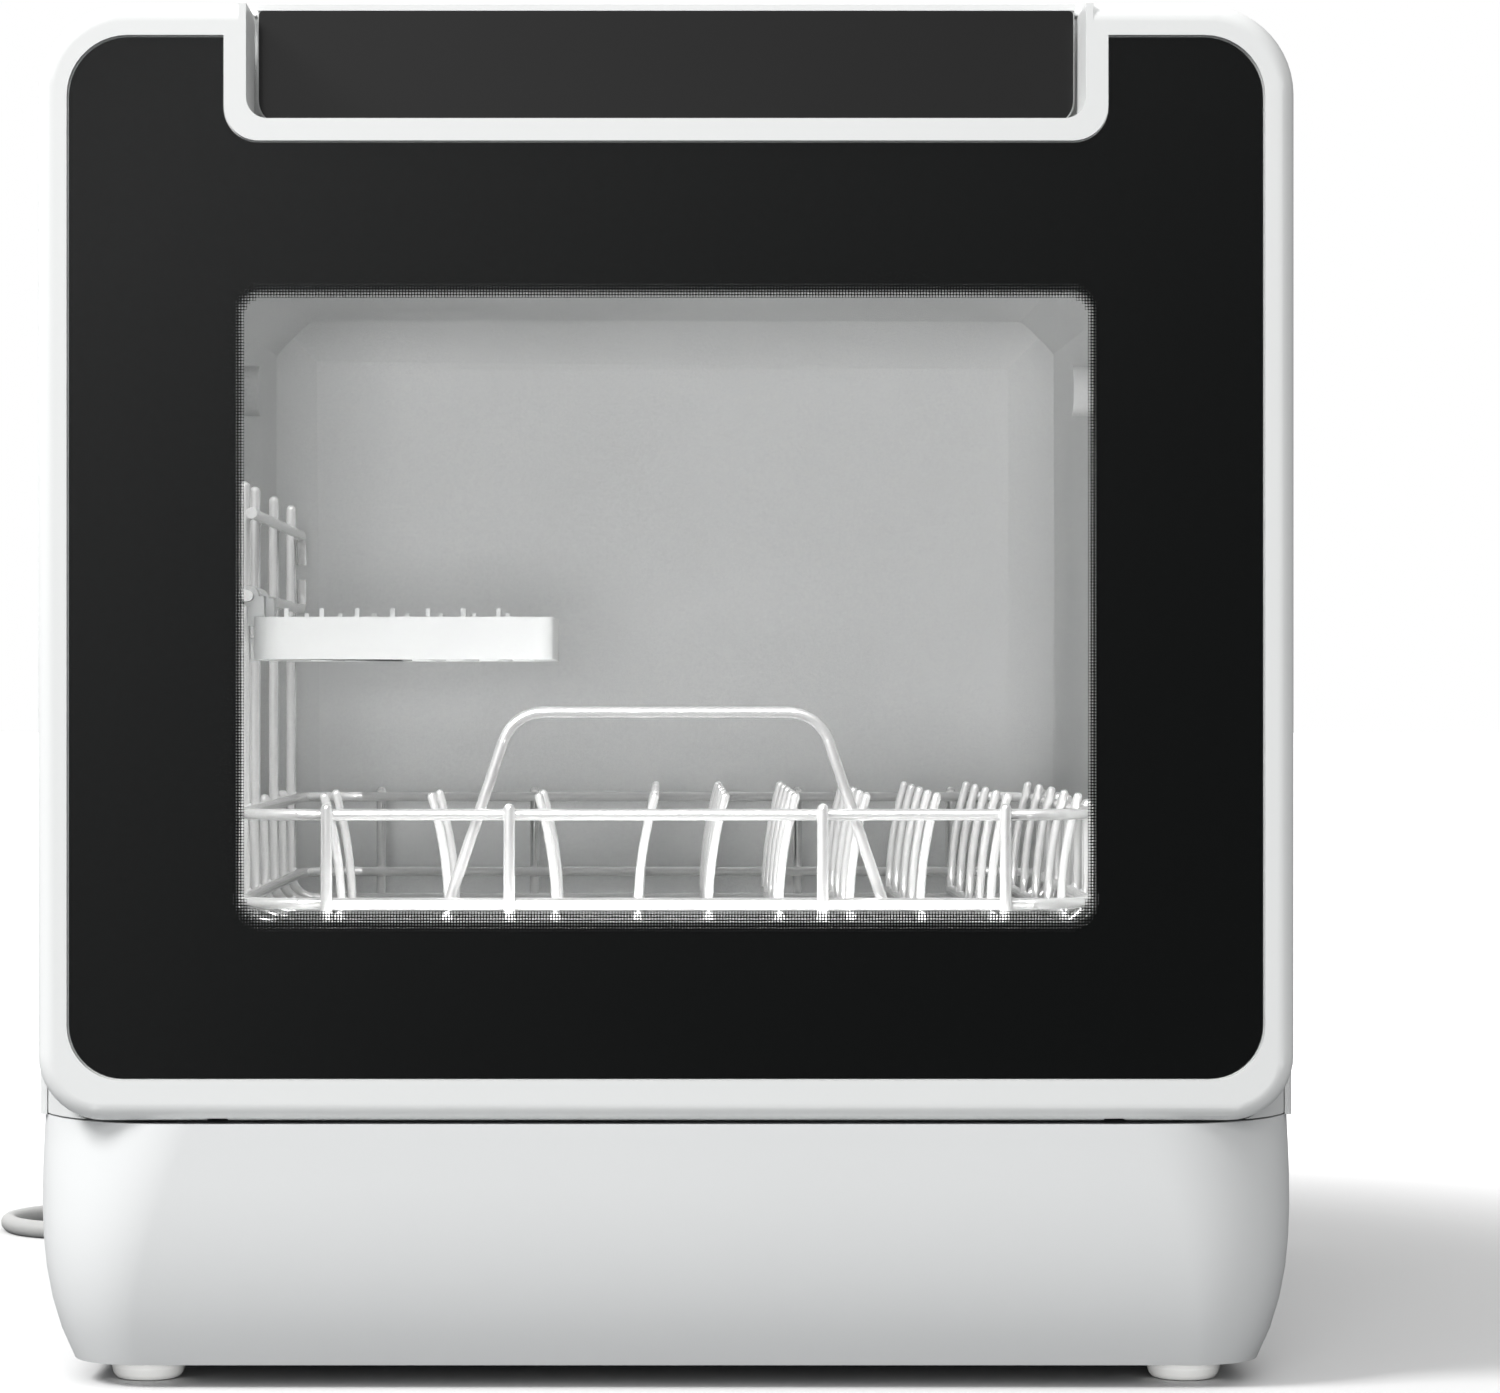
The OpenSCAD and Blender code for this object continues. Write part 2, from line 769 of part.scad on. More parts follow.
module sump() {
  top = tub_floor - tub_wall;
  color("dimgray") plan() difference() {
    union() {
      translate([sump_x, sump_at, tub_floor - sump_h])
        cylinder(h = sump_h - tub_wall, d = sump_d + 2 * sump_wall);
      translate([sump_x, sump_at, top - 3]) cylinder(h = 3, d = sump_d + 2 * sump_wall + 8);
      translate([sump_x, sump_at, port_low])
        rotate([0, 90, 0]) cylinder(h = sump_d / 2 + sump_wall + 6, d = drain_hose_d);
      translate([sump_x, sump_at, port_low])
        rotate([0, -90, 0]) cylinder(h = sump_d / 2 + sump_wall + 6, d = spray_hose_d);
    }
    translate([sump_x, sump_at, tub_floor - sump_h + sump_wall])
      cylinder(h = sump_h, d = sump_d);
    translate([sump_x, sump_at, port_low])
      rotate([0, 90, 0]) cylinder(h = sump_d, d = drain_hose_d - 5);
    translate([sump_x, sump_at, port_low])
      rotate([0, -90, 0]) cylinder(h = sump_d, d = spray_hose_d - 5);
  }
}

filter_plate_t = 1.2;
filter_plate_d = sump_d + 16;

module filter_plate() {
  color("silver") plan() translate([sump_x, sump_at, tub_floor]) difference() {
    cylinder(h = filter_plate_t, d = filter_plate_d);
    translate([0, 0, -over]) cylinder(h = filter_plate_t + 2 * over, d = filter_d + 1);
    for (k = [0:1], i = [0:23]) rotate([0, 0, 15 * i + 7.5 * k])
      translate([filter_d / 2 + 3 + 4 * k, 0, -over]) cylinder(h = filter_plate_t + 2 * over, d = 2);
  }
}

filter_bar_h = 6;

module filter_cup() {
  top = tub_floor + filter_plate_t + 0.2;
  low = tub_floor - sump_h + sump_wall + 1;
  color("gainsboro") plan() translate([sump_x, sump_at, 0]) difference() {
    union() {
      translate([0, 0, low]) cylinder(h = top - low, d = filter_d);
      translate([0, 0, top]) cylinder(h = 2, d = filter_d + 8);
    }
    translate([0, 0, low + 2]) cylinder(h = top - low + 1, d = filter_d - 4);
    for (z = [low + 6, low + 20], a = [0:30:150]) rotate([0, 0, a])
      block([-filter_d, -2, z], [filter_d, 2, z + 11]);
  }
  color("gainsboro") plan() translate([sump_x, sump_at, 0])
    block([2 - filter_d / 2 - 1, -2.5, top - 4], [filter_d / 2 - 2 + 1, 2.5, top + filter_bar_h]);
}

hub_neck_d = 22;
hub_base_h = 6;
cap_d = post_d + 8;
cap_t = 3;
arm_hub_h = 13;
arm_low = tub_floor + hub_base_h + fit;

module spray_hub() {
  color("gainsboro") plan() translate([0, hub_at, 0]) {
    translate([0, 0, tub_floor]) cylinder(h = hub_base_h, d = hub_base_d);
    translate([0, 0, base_top - plate_t]) cylinder(h = tub_floor - base_top + plate_t + over, d = hub_neck_d);
    translate([0, 0, tub_floor]) cylinder(h = arm_low - tub_floor + arm_hub_h + fit + over, d = post_d);
    translate([0, 0, arm_low + arm_hub_h + fit]) cylinder(h = cap_t, d = cap_d);
  }
}

arm_root_w = 44;
arm_tip_w = 26;
nozzle_at = [0.34, 0.52, 0.7, 0.88];

module spray_arm() {
  reach = arm_l / 2 - arm_tip_w / 2;
  color("lightsteelblue") plan() translate([0, hub_at, arm_low]) difference() {
    union() {
      cylinder(h = arm_hub_h, d = arm_root_w);
      for (s = [0, 180]) rotate([0, 0, s]) {
        translate([0, 0, 2]) linear_extrude(arm_t) polygon([
          [0, -arm_root_w / 2], [reach, -arm_tip_w / 2], [reach, arm_tip_w / 2],
          [0, arm_root_w / 2]
        ]);
        translate([reach, 0, 2]) cylinder(h = arm_t, d = arm_tip_w);
        for (k = nozzle_at) translate([k * arm_l / 2, 4 - 8 * k, arm_t + 1])
          cylinder(h = 2.5, d1 = 9, d2 = 6);
      }
    }
    translate([0, 0, -over]) cylinder(h = arm_hub_h + 2 * over, d = post_d + 2 * arm_gap);
    for (s = [0, 180], k = nozzle_at) rotate([0, 0, s])
      translate([k * arm_l / 2, 4 - 8 * k, arm_t - 2]) cylinder(h = 10, d = 3);
  }
}

pump_x = -78;
pump_z = 50;
pump_at = 122;
volute_d = pump_d + 12;
volute_t = 28;
motor_l = 78;
port_low = 72;
hose_cuff = 8;

module wash_pump() {
  color("dimgray") plan() {
    translate([pump_x, pump_at, pump_z]) rotate([-90, 0, 0]) cylinder(h = volute_t, d = volute_d);
    translate([pump_x, pump_at + volute_t, pump_z]) rotate([-90, 0, 0]) cylinder(h = motor_l, d = pump_d);
    translate([pump_x, pump_at - hose_cuff, pump_z])
      rotate([-90, 0, 0]) cylinder(h = hose_cuff + over, d = spray_hose_d);
    translate([pump_x, pump_at + volute_t / 2, pump_z])
      rotate([0, 90, 0]) cylinder(h = volute_d / 2 + hose_cuff, d = spray_hose_d);
    for (s = [-1, 1]) block(
      [pump_x + s * 20 - 5, pump_at + 40, foot_h + plate_t],
      [pump_x + s * 20 + 5, pump_at + 90, pump_z]
    );
  }
}

module pump_hose() {
  color("darkslategray") bent_wire([
    at(sump_x - sump_d / 2 - sump_wall - 6, sump_at, port_low),
    at(sump_x - sump_d / 2 - sump_wall - 20, sump_at, port_low),
    at(-40, sump_at, pump_z),
    at(pump_x, sump_at, pump_z),
    at(pump_x, pump_at - hose_cuff, pump_z)
  ], 13, spray_hose_d - 4);
}

module spray_hose() {
  color("darkslategray") bent_wire([
    at(pump_x + volute_d / 2 + hose_cuff, pump_at + volute_t / 2, pump_z),
    at(0, pump_at + volute_t / 2, pump_z),
    at(0, hub_at, pump_z),
    at(0, hub_at, base_top - plate_t)
  ], 20, spray_hose_d - 4);
}

heater_l = 34;

module heater() {
  middle = (pump_at + volute_t / 2 + hub_at) / 2;
  color("silver") plan() translate([0, middle - heater_l / 2, pump_z]) rotate([-90, 0, 0]) difference() {
    union() {
      cylinder(h = heater_l, d = spray_hose_d + 14);
      for (a = [60, 120]) rotate([0, 0, a]) translate([spray_hose_d / 2 + 4, 0, heater_l / 2])
        rotate([0, 90, 0]) cylinder(h = 10, d = 8);
    }
    translate([0, 0, -over]) cylinder(h = heater_l + 2 * over, d = spray_hose_d - 4 + 2 * fit);
  }
}

drain_pump_d = 40;
drain_pump_l = 46;

module drain_pump() {
  x = sump_x + sump_d / 2 + sump_wall + 6;
  color("dimgray") plan() {
    translate([x, sump_at, port_low - 12])
      rotate([0, 90, 0]) cylinder(h = 16, d = drain_pump_d + 8);
    translate([x + 16, sump_at, port_low - 12])
      rotate([0, 90, 0]) cylinder(h = drain_pump_l, d = drain_pump_d);
    translate([x + 8, sump_at, port_low - 20]) rotate([-90, 0, 0])
      cylinder(h = drain_pump_d / 2 + 12, d = drain_hose_d - 4);
    block(
      [x + 20, sump_at - 8, foot_h + plate_t],
      [x + 50, sump_at + 8, port_low - 20]
    );
  }
}

module drain_hose() {
  start = sump_x + sump_d / 2 + sump_wall + 14;
  color("darkslategray") bent_wire([
    at(start, sump_at + drain_pump_d / 2 + 12, port_low - 20),
    at(start, sump_at + 90, port_low - 20),
    at(drain_x, sump_at + 90, port_low - 20),
    at(drain_x, riser_at, port_low - 20),
    at(drain_x, riser_at, port_z),
    at(drain_x, panel_front - 2, port_z)
  ], 13, drain_hose_d - 3);
}

port_rise = 35;
port_z = base_top + port_rise;
relief_l = 1;
relief = 1.2;
inlet_x = 90;
drain_x = 150;
riser_at = tub_back + tub_wall + 18;

// Rings of the hose thread and of the spigot's barbs are left to the finish
// Stub of a connector with a short relieved neck at the panel, so that a mate can seat on the panel
module connector(d, inside) {
  translate([0, 0, panel_front - inside]) cylinder(h = back_t + inside + relief_l, d = d - 2 * relief);
  translate([0, 0, body_d + relief_l]) cylinder(h = connector_out - relief_l, d = d);
}

module inlet_valve() {
  color("white") face() translate([-inlet_x, port_z, 0]) difference() {
    union() {
      connector(inlet_d, 6);
      translate([0, 0, panel_front - 6]) cylinder(h = 6, d = inlet_d + 8);
      translate([-15, -15, tub_back + tub_wall + fit])
        cube([30, 30, panel_front - 5 - tub_back - tub_wall - fit]);
      translate([0, 15, panel_front - 20]) rotate([-90, 0, 0]) cylinder(h = 24, d = 22);
    }
    translate([0, 0, body_d - 4]) cylinder(h = connector_out + 5, d = inlet_d - 8);
  }
}

module drain_spigot() {
  color("dimgray") face() translate([drain_x, port_z, 0]) difference() {
    union() {
      connector(spigot_d, 2);
      translate([0, 0, panel_front - 2]) cylinder(h = 2, d = spigot_d + 8);
    }
    translate([0, 0, panel_front]) cylinder(h = connector_out + 5, d = spigot_d - 6);
  }
}

module float_dome() {
  h = float_post_h + 2;
  color("white") plan() translate([-float_x, float_at, tub_floor + fit]) difference() {
    union() {
      cylinder(h = h, d = float_d);
      translate([0, 0, h]) cylinder(h = 3, d1 = float_d, d2 = float_d - 8);
    }
    translate([0, 0, -over]) cylinder(h = float_post_h + over + fit, d = float_post_d + 2 * arm_gap);
  }
}

// ---------------------------------------------------------------- water tank and air

tank_x = inner_w / 2 - fit;
tank_in = tub_w / 2 + tub_wall + fit;
tank_low = base_top;
tank_front = tub_front + 14;
tank_back = panel_front - 30;
tank_top_z = wrap_top - cabinet_r;
tank_shelf_z = tub_top + tub_wall + fit;
tank_shelf_front = fill_d - 60;
throat_d = 40;

// The tank fills the gap at the left of the tub and reaches over it under the fill opening
module tank_form(g) {
  block([-tank_x + g, tank_front + g, tank_low + g], [-tank_in - g, tank_back - g, tank_top_z - g]);
  block(
    [-tank_x + g, tank_shelf_front + g, tank_shelf_z + g],
    [-fill_x + throat_d / 2 + 12 - g, tank_back - g, tank_top_z - g]
  );
}

module water_tank() {
  color("lightblue") plan() difference() {
    tank_form(0);
    tank_form(tank_wall);
    translate([-fill_x, fill_d, tank_top_z - tank_wall - over])
      cylinder(h = tank_wall + 2 * over, d = throat_d);
  }
}

seat_w = lid_w + 2 * fit;
lid_pin_d = 2.4;
lid_pin_out = 3;
lid_axis_z = body_h - lid_t / 2;
lid_axis_d = fill_d + lid_w / 2 - lid_t / 2;

module fill_funnel() {
  color("gainsboro") plan() translate([-fill_x, fill_d, 0]) difference() {
    union() {
      translate([0, 0, wrap_top - 12]) linear_extrude(body_h - wrap_top + 12)
        square(fill_hole_w, center = true);
      translate([0, 0, tank_top_z - tank_wall - 2])
        cylinder(h = wrap_top - 11 - tank_top_z + tank_wall + 2, d = throat_d - 2 * fit);
    }
    translate([0, 0, body_h - lid_t]) linear_extrude(lid_t + over) square(seat_w, center = true);
    translate([0, 0, wrap_top - 10]) linear_extrude(12) square(lid_w - 8, center = true);
    translate([0, 0, tank_top_z - tank_wall - 3]) cylinder(h = body_h, d = throat_d - 6);
    translate([0, lid_w / 2 - lid_t / 2, lid_axis_z]) rotate([0, 90, 0])
      cylinder(h = lid_w + 2 * lid_pin_out, d = lid_pin_d + 0.1, center = true);
    translate([0, -lid_w / 2 - 2, body_h]) sphere(d = 14);
  }
}

module fill_lid() {
  color("white") plan() translate([-fill_x, fill_d, 0]) {
    block([-lid_w / 2, -lid_w / 2, body_h - lid_t + 0.05], [lid_w / 2, lid_w / 2 - lid_t / 2, body_h]);
    translate([0, lid_w / 2 - lid_t / 2, lid_axis_z + 0.025]) rotate([0, 90, 0])
      cylinder(h = lid_w, d = lid_t - 0.05, center = true);
    translate([0, lid_w / 2 - lid_t / 2, lid_axis_z]) rotate([0, 90, 0])
      cylinder(h = lid_w + 2 * lid_pin_out - 1, d = lid_pin_d, center = true);
  }
}

fan_low = tub_top + tub_wall;
fan_shaft_d = 4;

module fan_housing() {
  color("dimgray") plan() translate([fan_x, fan_at, fan_low]) {
    difference() {
      linear_extrude(fan_t) square(fan_w, center = true);
      translate([0, 0, -over]) cylinder(h = fan_t + 2 * over, d = fan_bore);
    }
    difference() {
      union() {
        for (a = [0:60:120]) rotate([0, 0, a])
          block([-fan_bore / 2 - 1, -1.5, 0], [fan_bore / 2 + 1, 1.5, 2]);
        cylinder(h = 4, d = 18);
      }
      translate([0, 0, -over]) cylinder(h = 6, d = fan_shaft_d + 2 * arm_gap);
    }
  }
}

module fan_impeller() {
  color("black") plan() translate([fan_x, fan_at, fan_low]) {
    translate([0, 0, 0.5]) cylinder(h = fan_t - 2, d = fan_shaft_d);
    translate([0, 0, 4 + fit]) cylinder(h = fan_t - 6, d = 18);
    for (i = [0:fan_n - 1]) rotate([0, 0, 360 * i / fan_n]) translate([fan_bore / 4 + 2, 0, fan_t / 2 + 1.6])
      rotate([38, 0, 0]) cube([fan_bore / 2 - 6, 1.2, 10], center = true);
  }
}

board_x = -35;
board_at = 150;

module power_board() {
  z = tub_top + tub_wall;
  color("darkgreen") plan() translate([board_x, board_at, z]) {
    for (sx = [-1, 1], sy = [-1, 1]) translate([sx * 44, sy * 38, 0]) cylinder(h = 9, d = 6);
    block([-50, -44, 8], [50, 44, 9.6]);
    for (x = [-34, -8, 18]) block([x, -30, 9], [x + 18, -6, 24]);
    for (x = [-30, 0, 30]) translate([x, 18, 9]) cylinder(h = 20, d = 14);
  }
}

// ---------------------------------------------------------------- latch

tongue_t = 5;
tongue_z = tub_top + 17;
slot_w = tongue_w + 4;
slot_low = tongue_z - tongue_t / 2 - 3.5;
slot_h = tongue_t + 8;
latch_wall = 3;
latch_hollow = tongue_l + 6;
switch_gap = 0.3;
switch_travel = 3;

module door_striker() {
  color("white") face() {
    translate([-tongue_w / 2 - 5, tongue_z - 7, door_back]) cube([tongue_w + 10, 14, 1.6]);
    translate([-tongue_w / 2, tongue_z - tongue_t / 2, door_back]) cube([tongue_w, tongue_t, tongue_l]);
  }
}

module latch_housing() {
  w = slot_w + 2 * latch_wall;
  color("dimgray") face() difference() {
    translate([-w / 2, slot_low - latch_wall, tub_front])
      cube([w, slot_h + 2 * latch_wall, latch_hollow + 22]);
    translate([-slot_w / 2, slot_low, tub_front - over])
      cube([slot_w, slot_h, door_back + latch_hollow - tub_front + over]);
    translate([0, tongue_z, tub_front]) cylinder(h = latch_hollow + 16, d = plunger_d + 2 * arm_gap);
  }
}

module switch_plunger() {
  color("red") face() translate([0, tongue_z, door_back + tongue_l + switch_gap])
    cylinder(h = tub_front + latch_hollow + 12 - door_back - tongue_l, d = plunger_d);
}

// ---------------------------------------------------------------- hinge

arm_half = 2.5;
knuckle_d = 9;
bracket_foot = tub_front + 30;

module hinge_brackets() {
  color("silver") both_sides() side() translate([0, 0, hinge_x - bracket_w / 2]) difference() {
    union() {
      translate([pivot_d, pivot_z, 0]) cylinder(h = bracket_w, d = knuckle_d);
      block([pivot_d, pivot_z - arm_half, 0], [bracket_foot, pivot_z + arm_half, bracket_w]);
      block([frame_front - 3, base_top, -4], [bracket_foot, base_top + 3, bracket_w + 4]);
      block([frame_front - 3, base_top, 0], [bracket_foot, pivot_z, bracket_w]);
    }
    translate([pivot_d, pivot_z, -over]) cylinder(h = bracket_w + 2 * over, d = pin_d + 2 * pin_gap);
    block([frame_front - 3 - over, base_top - over, -5], [tub_front + 1, base_top + 4, 0]);
    block([frame_front - 3 - over, base_top - over, bracket_w], [tub_front + 1, base_top + 4, bracket_w + 5]);
  }
}

module hinge_pins() {
  color("silver") both_sides() side() translate([pivot_d, pivot_z, hinge_x - pin_l / 2])
    cylinder(h = pin_l, d = pin_d);
}

// ---------------------------------------------------------------- door

glass_w = door_w - 2 * border_side;
glass_low = door_low + border_low;
glass_h = door_h - border_low - border_top;
seat_depth = glass_t + 0.2;
seat_lap = 7;
flange_t = 6;

// The notch through the door, grown by g
module notch_outline(g, r) {
  w = notch_w + 2 * g;
  translate([0, notch_low - g]) round_outline(w, notch_h + g + 20, r, r);
}

// Outline of the black panel, grown by g
module glass_outline(g) {
  difference() {
    translate([0, glass_low - g])
      round_outline(glass_w + 2 * g, glass_h + 2 * g, glass_low_r + g, glass_top_r + g);
    notch_outline(lip_w - g, notch_r + 4.7);
  }
}

// Room for the hinge bracket at the door's bottom edge
module hinge_room() {
  for (s = [-1, 1]) side() translate([0, 0, s * hinge_x - bracket_w / 2 - 0.5]) {
    translate([pivot_d, pivot_z, 0]) cylinder(h = bracket_w + 1, d = knuckle_d + 2 * fit);
    block(
      [pivot_d - arm_half - 0.5, door_low - over, 0],
      [door_back + over, pivot_z + arm_half + 0.5, bracket_w + 1]
    );
  }
}

module pin_holes() {
  for (s = [-1, 1]) side() translate([pivot_d, pivot_z, s * hinge_x - pin_l / 2 - fit])
    cylinder(h = pin_l + 2 * fit, d = pin_d);
}

module door_frame() {
  r = door_edge_r;
  rim = concat(
    [[0, frame_d], [0, r]],
    [for (a = [15:15:75]) [r * (cos(a) - 1), r * (1 - sin(a))]],
    [[-r, 0], [-r - 2, 0], [-r - 2, flange_t], [-door_wall, flange_t], [-door_wall, frame_d]]
  );
  color("white") difference() {
    union() {
      face() translate([0, door_low, 0]) rim_sweep(door_w, door_h, door_low_r, door_top_r) polygon(rim);
      face() translate([0, door_low + r + 1, 0]) linear_extrude(flange_t)
        round_outline(door_w - 2 * r - 2, door_h - 2 * r - 2, door_low_r - r - 1, door_top_r - r - 1);
      intersection() {
        face() linear_extrude(frame_d) difference() {
          notch_outline(door_wall, notch_r + door_wall);
          notch_outline(0, notch_r);
        }
        face() translate([0, 0, -over]) linear_extrude(frame_d + 2 * over) difference() {
          translate([0, door_low]) round_outline(door_w, door_h, door_low_r, door_top_r);
          translate([0, notch_low]) square([notch_w - 1.2, 2 * notch_r], center = true);
        }
      }
      face() translate([0, 0, 0]) linear_extrude(lip_t - pocket_wall) difference() {
        intersection() {
          notch_outline(door_wall, notch_r + door_wall);
          translate([-notch_w / 2 - door_wall, notch_low - door_wall])
            square([notch_w + 2 * door_wall, notch_h - r]);
        }
        notch_outline(0, notch_r);
      }
      for (s = [-1, 1]) plan() block(
        [s * hinge_x - pin_l / 2 - 2, pivot_d - 3.5, pivot_z - 3.5],
        [s * hinge_x + pin_l / 2 + 2, pivot_d + 6, pivot_z + 5]
      );
    }
    face() translate([0, 0, -over]) linear_extrude(seat_depth + over) glass_outline(fit);
    face() translate([0, 0, -over]) linear_extrude(flange_t + 2 * over) glass_outline(-seat_lap);
    face() translate([0, 0, -over]) linear_extrude(door_back + 2 * over) notch_outline(0, notch_r);
    hinge_room();
    pin_holes();
  }
}

module door_glass() {
  color([0.1, 0.1, 0.11, 0.9]) face() translate([0, 0, 0.2]) linear_extrude(glass_t) glass_outline(0);
}

window_z = door_low + window_low;
view_grow = 5;

module window_outline(g, r) {
  translate([0, window_z - g]) round_outline(window_w + 2 * g, window_h + 2 * g, r, r);
}

module window_spacer() {
  color("black") face() translate([0, 0, seat_depth]) linear_extrude(frame_d - glass_t - seat_depth)
    difference() {
      window_outline(view_grow + 4, 12);
      window_outline(view_grow + 1, 9);
    }
}

module inner_glass() {
  color([0.75, 0.8, 0.8, 0.4]) face() translate([0, 0, frame_d - glass_t]) linear_extrude(glass_t)
    window_outline(view_grow + 4, 12);
}

module door_liner() {
  inset = 3;
  color("whitesmoke") difference() {
    face() translate([0, 0, frame_d]) linear_extrude(liner_t) difference() {
      translate([0, door_low + inset]) round_outline(
        door_w - 2 * inset, door_h - 2 * inset, door_low_r - inset, door_top_r - inset
      );
      notch_outline(1.5, notch_r);
      window_outline(view_grow, 8);
      translate([-dispenser_w / 2, dispenser_low]) square([dispenser_w, dispenser_h]);
    }
    hinge_room();
  }
}

module handle_pocket() {
  w = notch_w - 2;
  depth = frame_d - lip_t + pocket_wall;
  color("white") face() difference() {
    translate([-w / 2, notch_low - pocket_h - pocket_wall, lip_t - pocket_wall])
      cube([w, pocket_h + pocket_wall, depth]);
    translate([pocket_wall - w / 2, notch_low - pocket_h, lip_t])
      cube([w - 2 * pocket_wall, pocket_h + over, depth - 2 * pocket_wall]);
  }
}

// ---------------------------------------------------------------- dispenser

dispenser_low = sill - 0.5;
dispenser_wall = 2;
lip_over = 1.5;
lid_z = dispenser_low + dispenser_wall;
track_h = dispenser_h - 2 * dispenser_wall;

module dispenser_tray() {
  w = dispenser_w - 2 * fit;
  front = door_back - dispenser_d;
  color("whitesmoke") face() translate([0, dispenser_low, 0]) difference() {
    translate([-w / 2, fit, front]) cube([w, dispenser_h - 2 * fit, dispenser_d]);
    translate([-w / 2 - over, dispenser_wall, door_back - 3])
      cube([w + 2 * over, track_h, 2]);
    translate([-w / 2 - over, dispenser_wall + lip_over, door_back - 1.5])
      cube([w + 2 * over, track_h - 2 * lip_over, 2]);
    translate([-dispenser_w / 2 + 6, 6, front + dispenser_wall])
      cube([dispenser_lid_w - 8, dispenser_h - 12, dispenser_d]);
  }
}

module dispenser_lid() {
  x = -dispenser_w / 2 + 2;
  color("silver") face() difference() {
    union() {
      translate([x, lid_z + fit, door_back - 3 + 0.1])
        cube([dispenser_lid_w, track_h - 2 * fit, 1.6]);
      translate([x, lid_z + lip_over + fit, door_back - 3 + 0.1])
        cube([dispenser_lid_w, track_h - 2 * lip_over - 2 * fit, 2.8]);
    }
    for (i = [0:3]) translate([x + 8 + 5 * i, lid_z + 8, door_back - 0.9])
      cube([2, track_h - 16, 1]);
  }
}

// ---------------------------------------------------------------- basket

// Centre distance of two wires welded across each other
function welded(d) = d * (1 - weld_sink);
cross_over = welded(wire_d);
floor_z = tub_floor + basket_lift;
cross_z = floor_z + cross_over;
rim_low_z = floor_z + rim_low;
rim_high_z = floor_z + rim_high;
tip_z = rim_high_z + upright_over;
side_x = tub_w / 2 - basket_gap - wire_d / 2;
rim_x = side_x - cross_over;
basket_back_d = basket_front_d + basket_l;
rim_front_d = basket_front_d + cross_over;
rim_back_d = basket_back_d - cross_over;
upright_out = tub_w / 2 - 48;
upright_in = upright_out - 63;
upright_x = [-upright_out, -upright_in, upright_in, upright_out];
skid_x = tub_w / 2 - runner_w + wire_d / 2 + 1;
tine_base_d = tine_d + 0.4;
tine_base_z = cross_z + wire_d / 2 + tine_base_d / 2 + 0.05;
rack_at = [1, 2, 4, 6];

function cross_d(i) = basket_front_d + cross_first + i * cross_pitch;

module basket_floor() {
  color("silver") {
    for (x = upright_x) rod(
      at(x, basket_front_d + upright_bend + bend_run, floor_z),
      at(x, basket_back_d - upright_bend - bend_run, floor_z), wire_d
    );
    for (s = [-1, 1]) rod(
      at(s * skid_x, cross_d(0) - 8, floor_z), at(s * skid_x, cross_d(cross_n - 1) + 8, floor_z), wire_d
    );
    for (i = [0:cross_n - 1]) rod(
      at(side_bend + bend_run - side_x, cross_d(i), cross_z),
      at(side_x - side_bend - bend_run, cross_d(i), cross_z), wire_d
    );
  }
}

// Straight run between the end of a floor wire and the bend of its upright
bend_run = 2;

// An upright wire: bent up from the floor wire that ends at low, with a round tip
module upright(low, foot, top) {
  bent_wire([low, foot, top], norm(foot - low) - bend_run, wire_d);
  translate(top) sphere(d = wire_d + bend_less);
}

// Front or back fence: end is the depth of the uprights, rim the depth of the rims
module end_fence(end, rim, inward) {
  for (x = upright_x) upright(
    at(x, end + inward * (upright_bend + bend_run), floor_z), at(x, end, floor_z),
    at(x, end, tip_z - wire_d / 2)
  );
  for (z = [rim_low_z, rim_high_z])
    rod(at(rim_r + bend_run - rim_x, rim, z), at(rim_x - rim_r - bend_run, rim, z), wire_d);
}

module basket_front() {
  color("silver") end_fence(basket_front_d, rim_front_d, 1);
}

module basket_back() {
  color("silver") end_fence(basket_back_d, rim_back_d, -1);
}

// Side fence at the side s, with flat topped uprights where the rack stands on it
module side_fence(s, rack) {
  for (z = [rim_low_z, rim_high_z]) bent_wire([
    at(s * (rim_x - rim_r - bend_run), rim_front_d, z), at(s * rim_x, rim_front_d, z),
    at(s * rim_x, rim_back_d, z), at(s * (rim_x - rim_r - bend_run), rim_back_d, z)
  ], rim_r, wire_d);
  for (i = [0:cross_n - 1]) {
    low = at(s * (side_x - side_bend - bend_run), cross_d(i), cross_z);
    foot = at(s * side_x, cross_d(i), cross_z);
    top = at(s * side_x, cross_d(i), tip_z - wire_d / 2);
    bent_wire([low, foot, top], side_bend, wire_d);
    if (len(search(i, rack)) == 0) translate(top) sphere(d = wire_d + bend_less);
  }
}

module basket_left() {
  color("silver") side_fence(-1, rack_at);
}

module basket_right() {
  color("silver") side_fence(1, []);
}

// One curved tine that stands upright at its foot and leans to the side s at its tip
tine_r = (tine_h * tine_h + tine_lean * tine_lean) / (2 * tine_lean);
tine_turn = asin(tine_h / tine_r);

module tine(x, d, s) {
  face() translate([x + s * tine_r, tine_base_z, d]) mirror([s > 0 ? 0 : 1, 0, 0]) {
    rotate([0, 0, 180 - tine_turn])
      rotate_extrude(angle = tine_turn) translate([tine_r, 0]) circle(d = tine_d);
    rotate([0, 0, 180 - tine_turn]) translate([tine_r, 0, 0]) sphere(d = tine_d + bend_less);
  }
}

tine_first = cross_first + 11;
plate_rows = 5;
plate_cols = 7;
plate_x = -10;
bowl_rows = 2;
bowl_x = [-115, -77, -39];

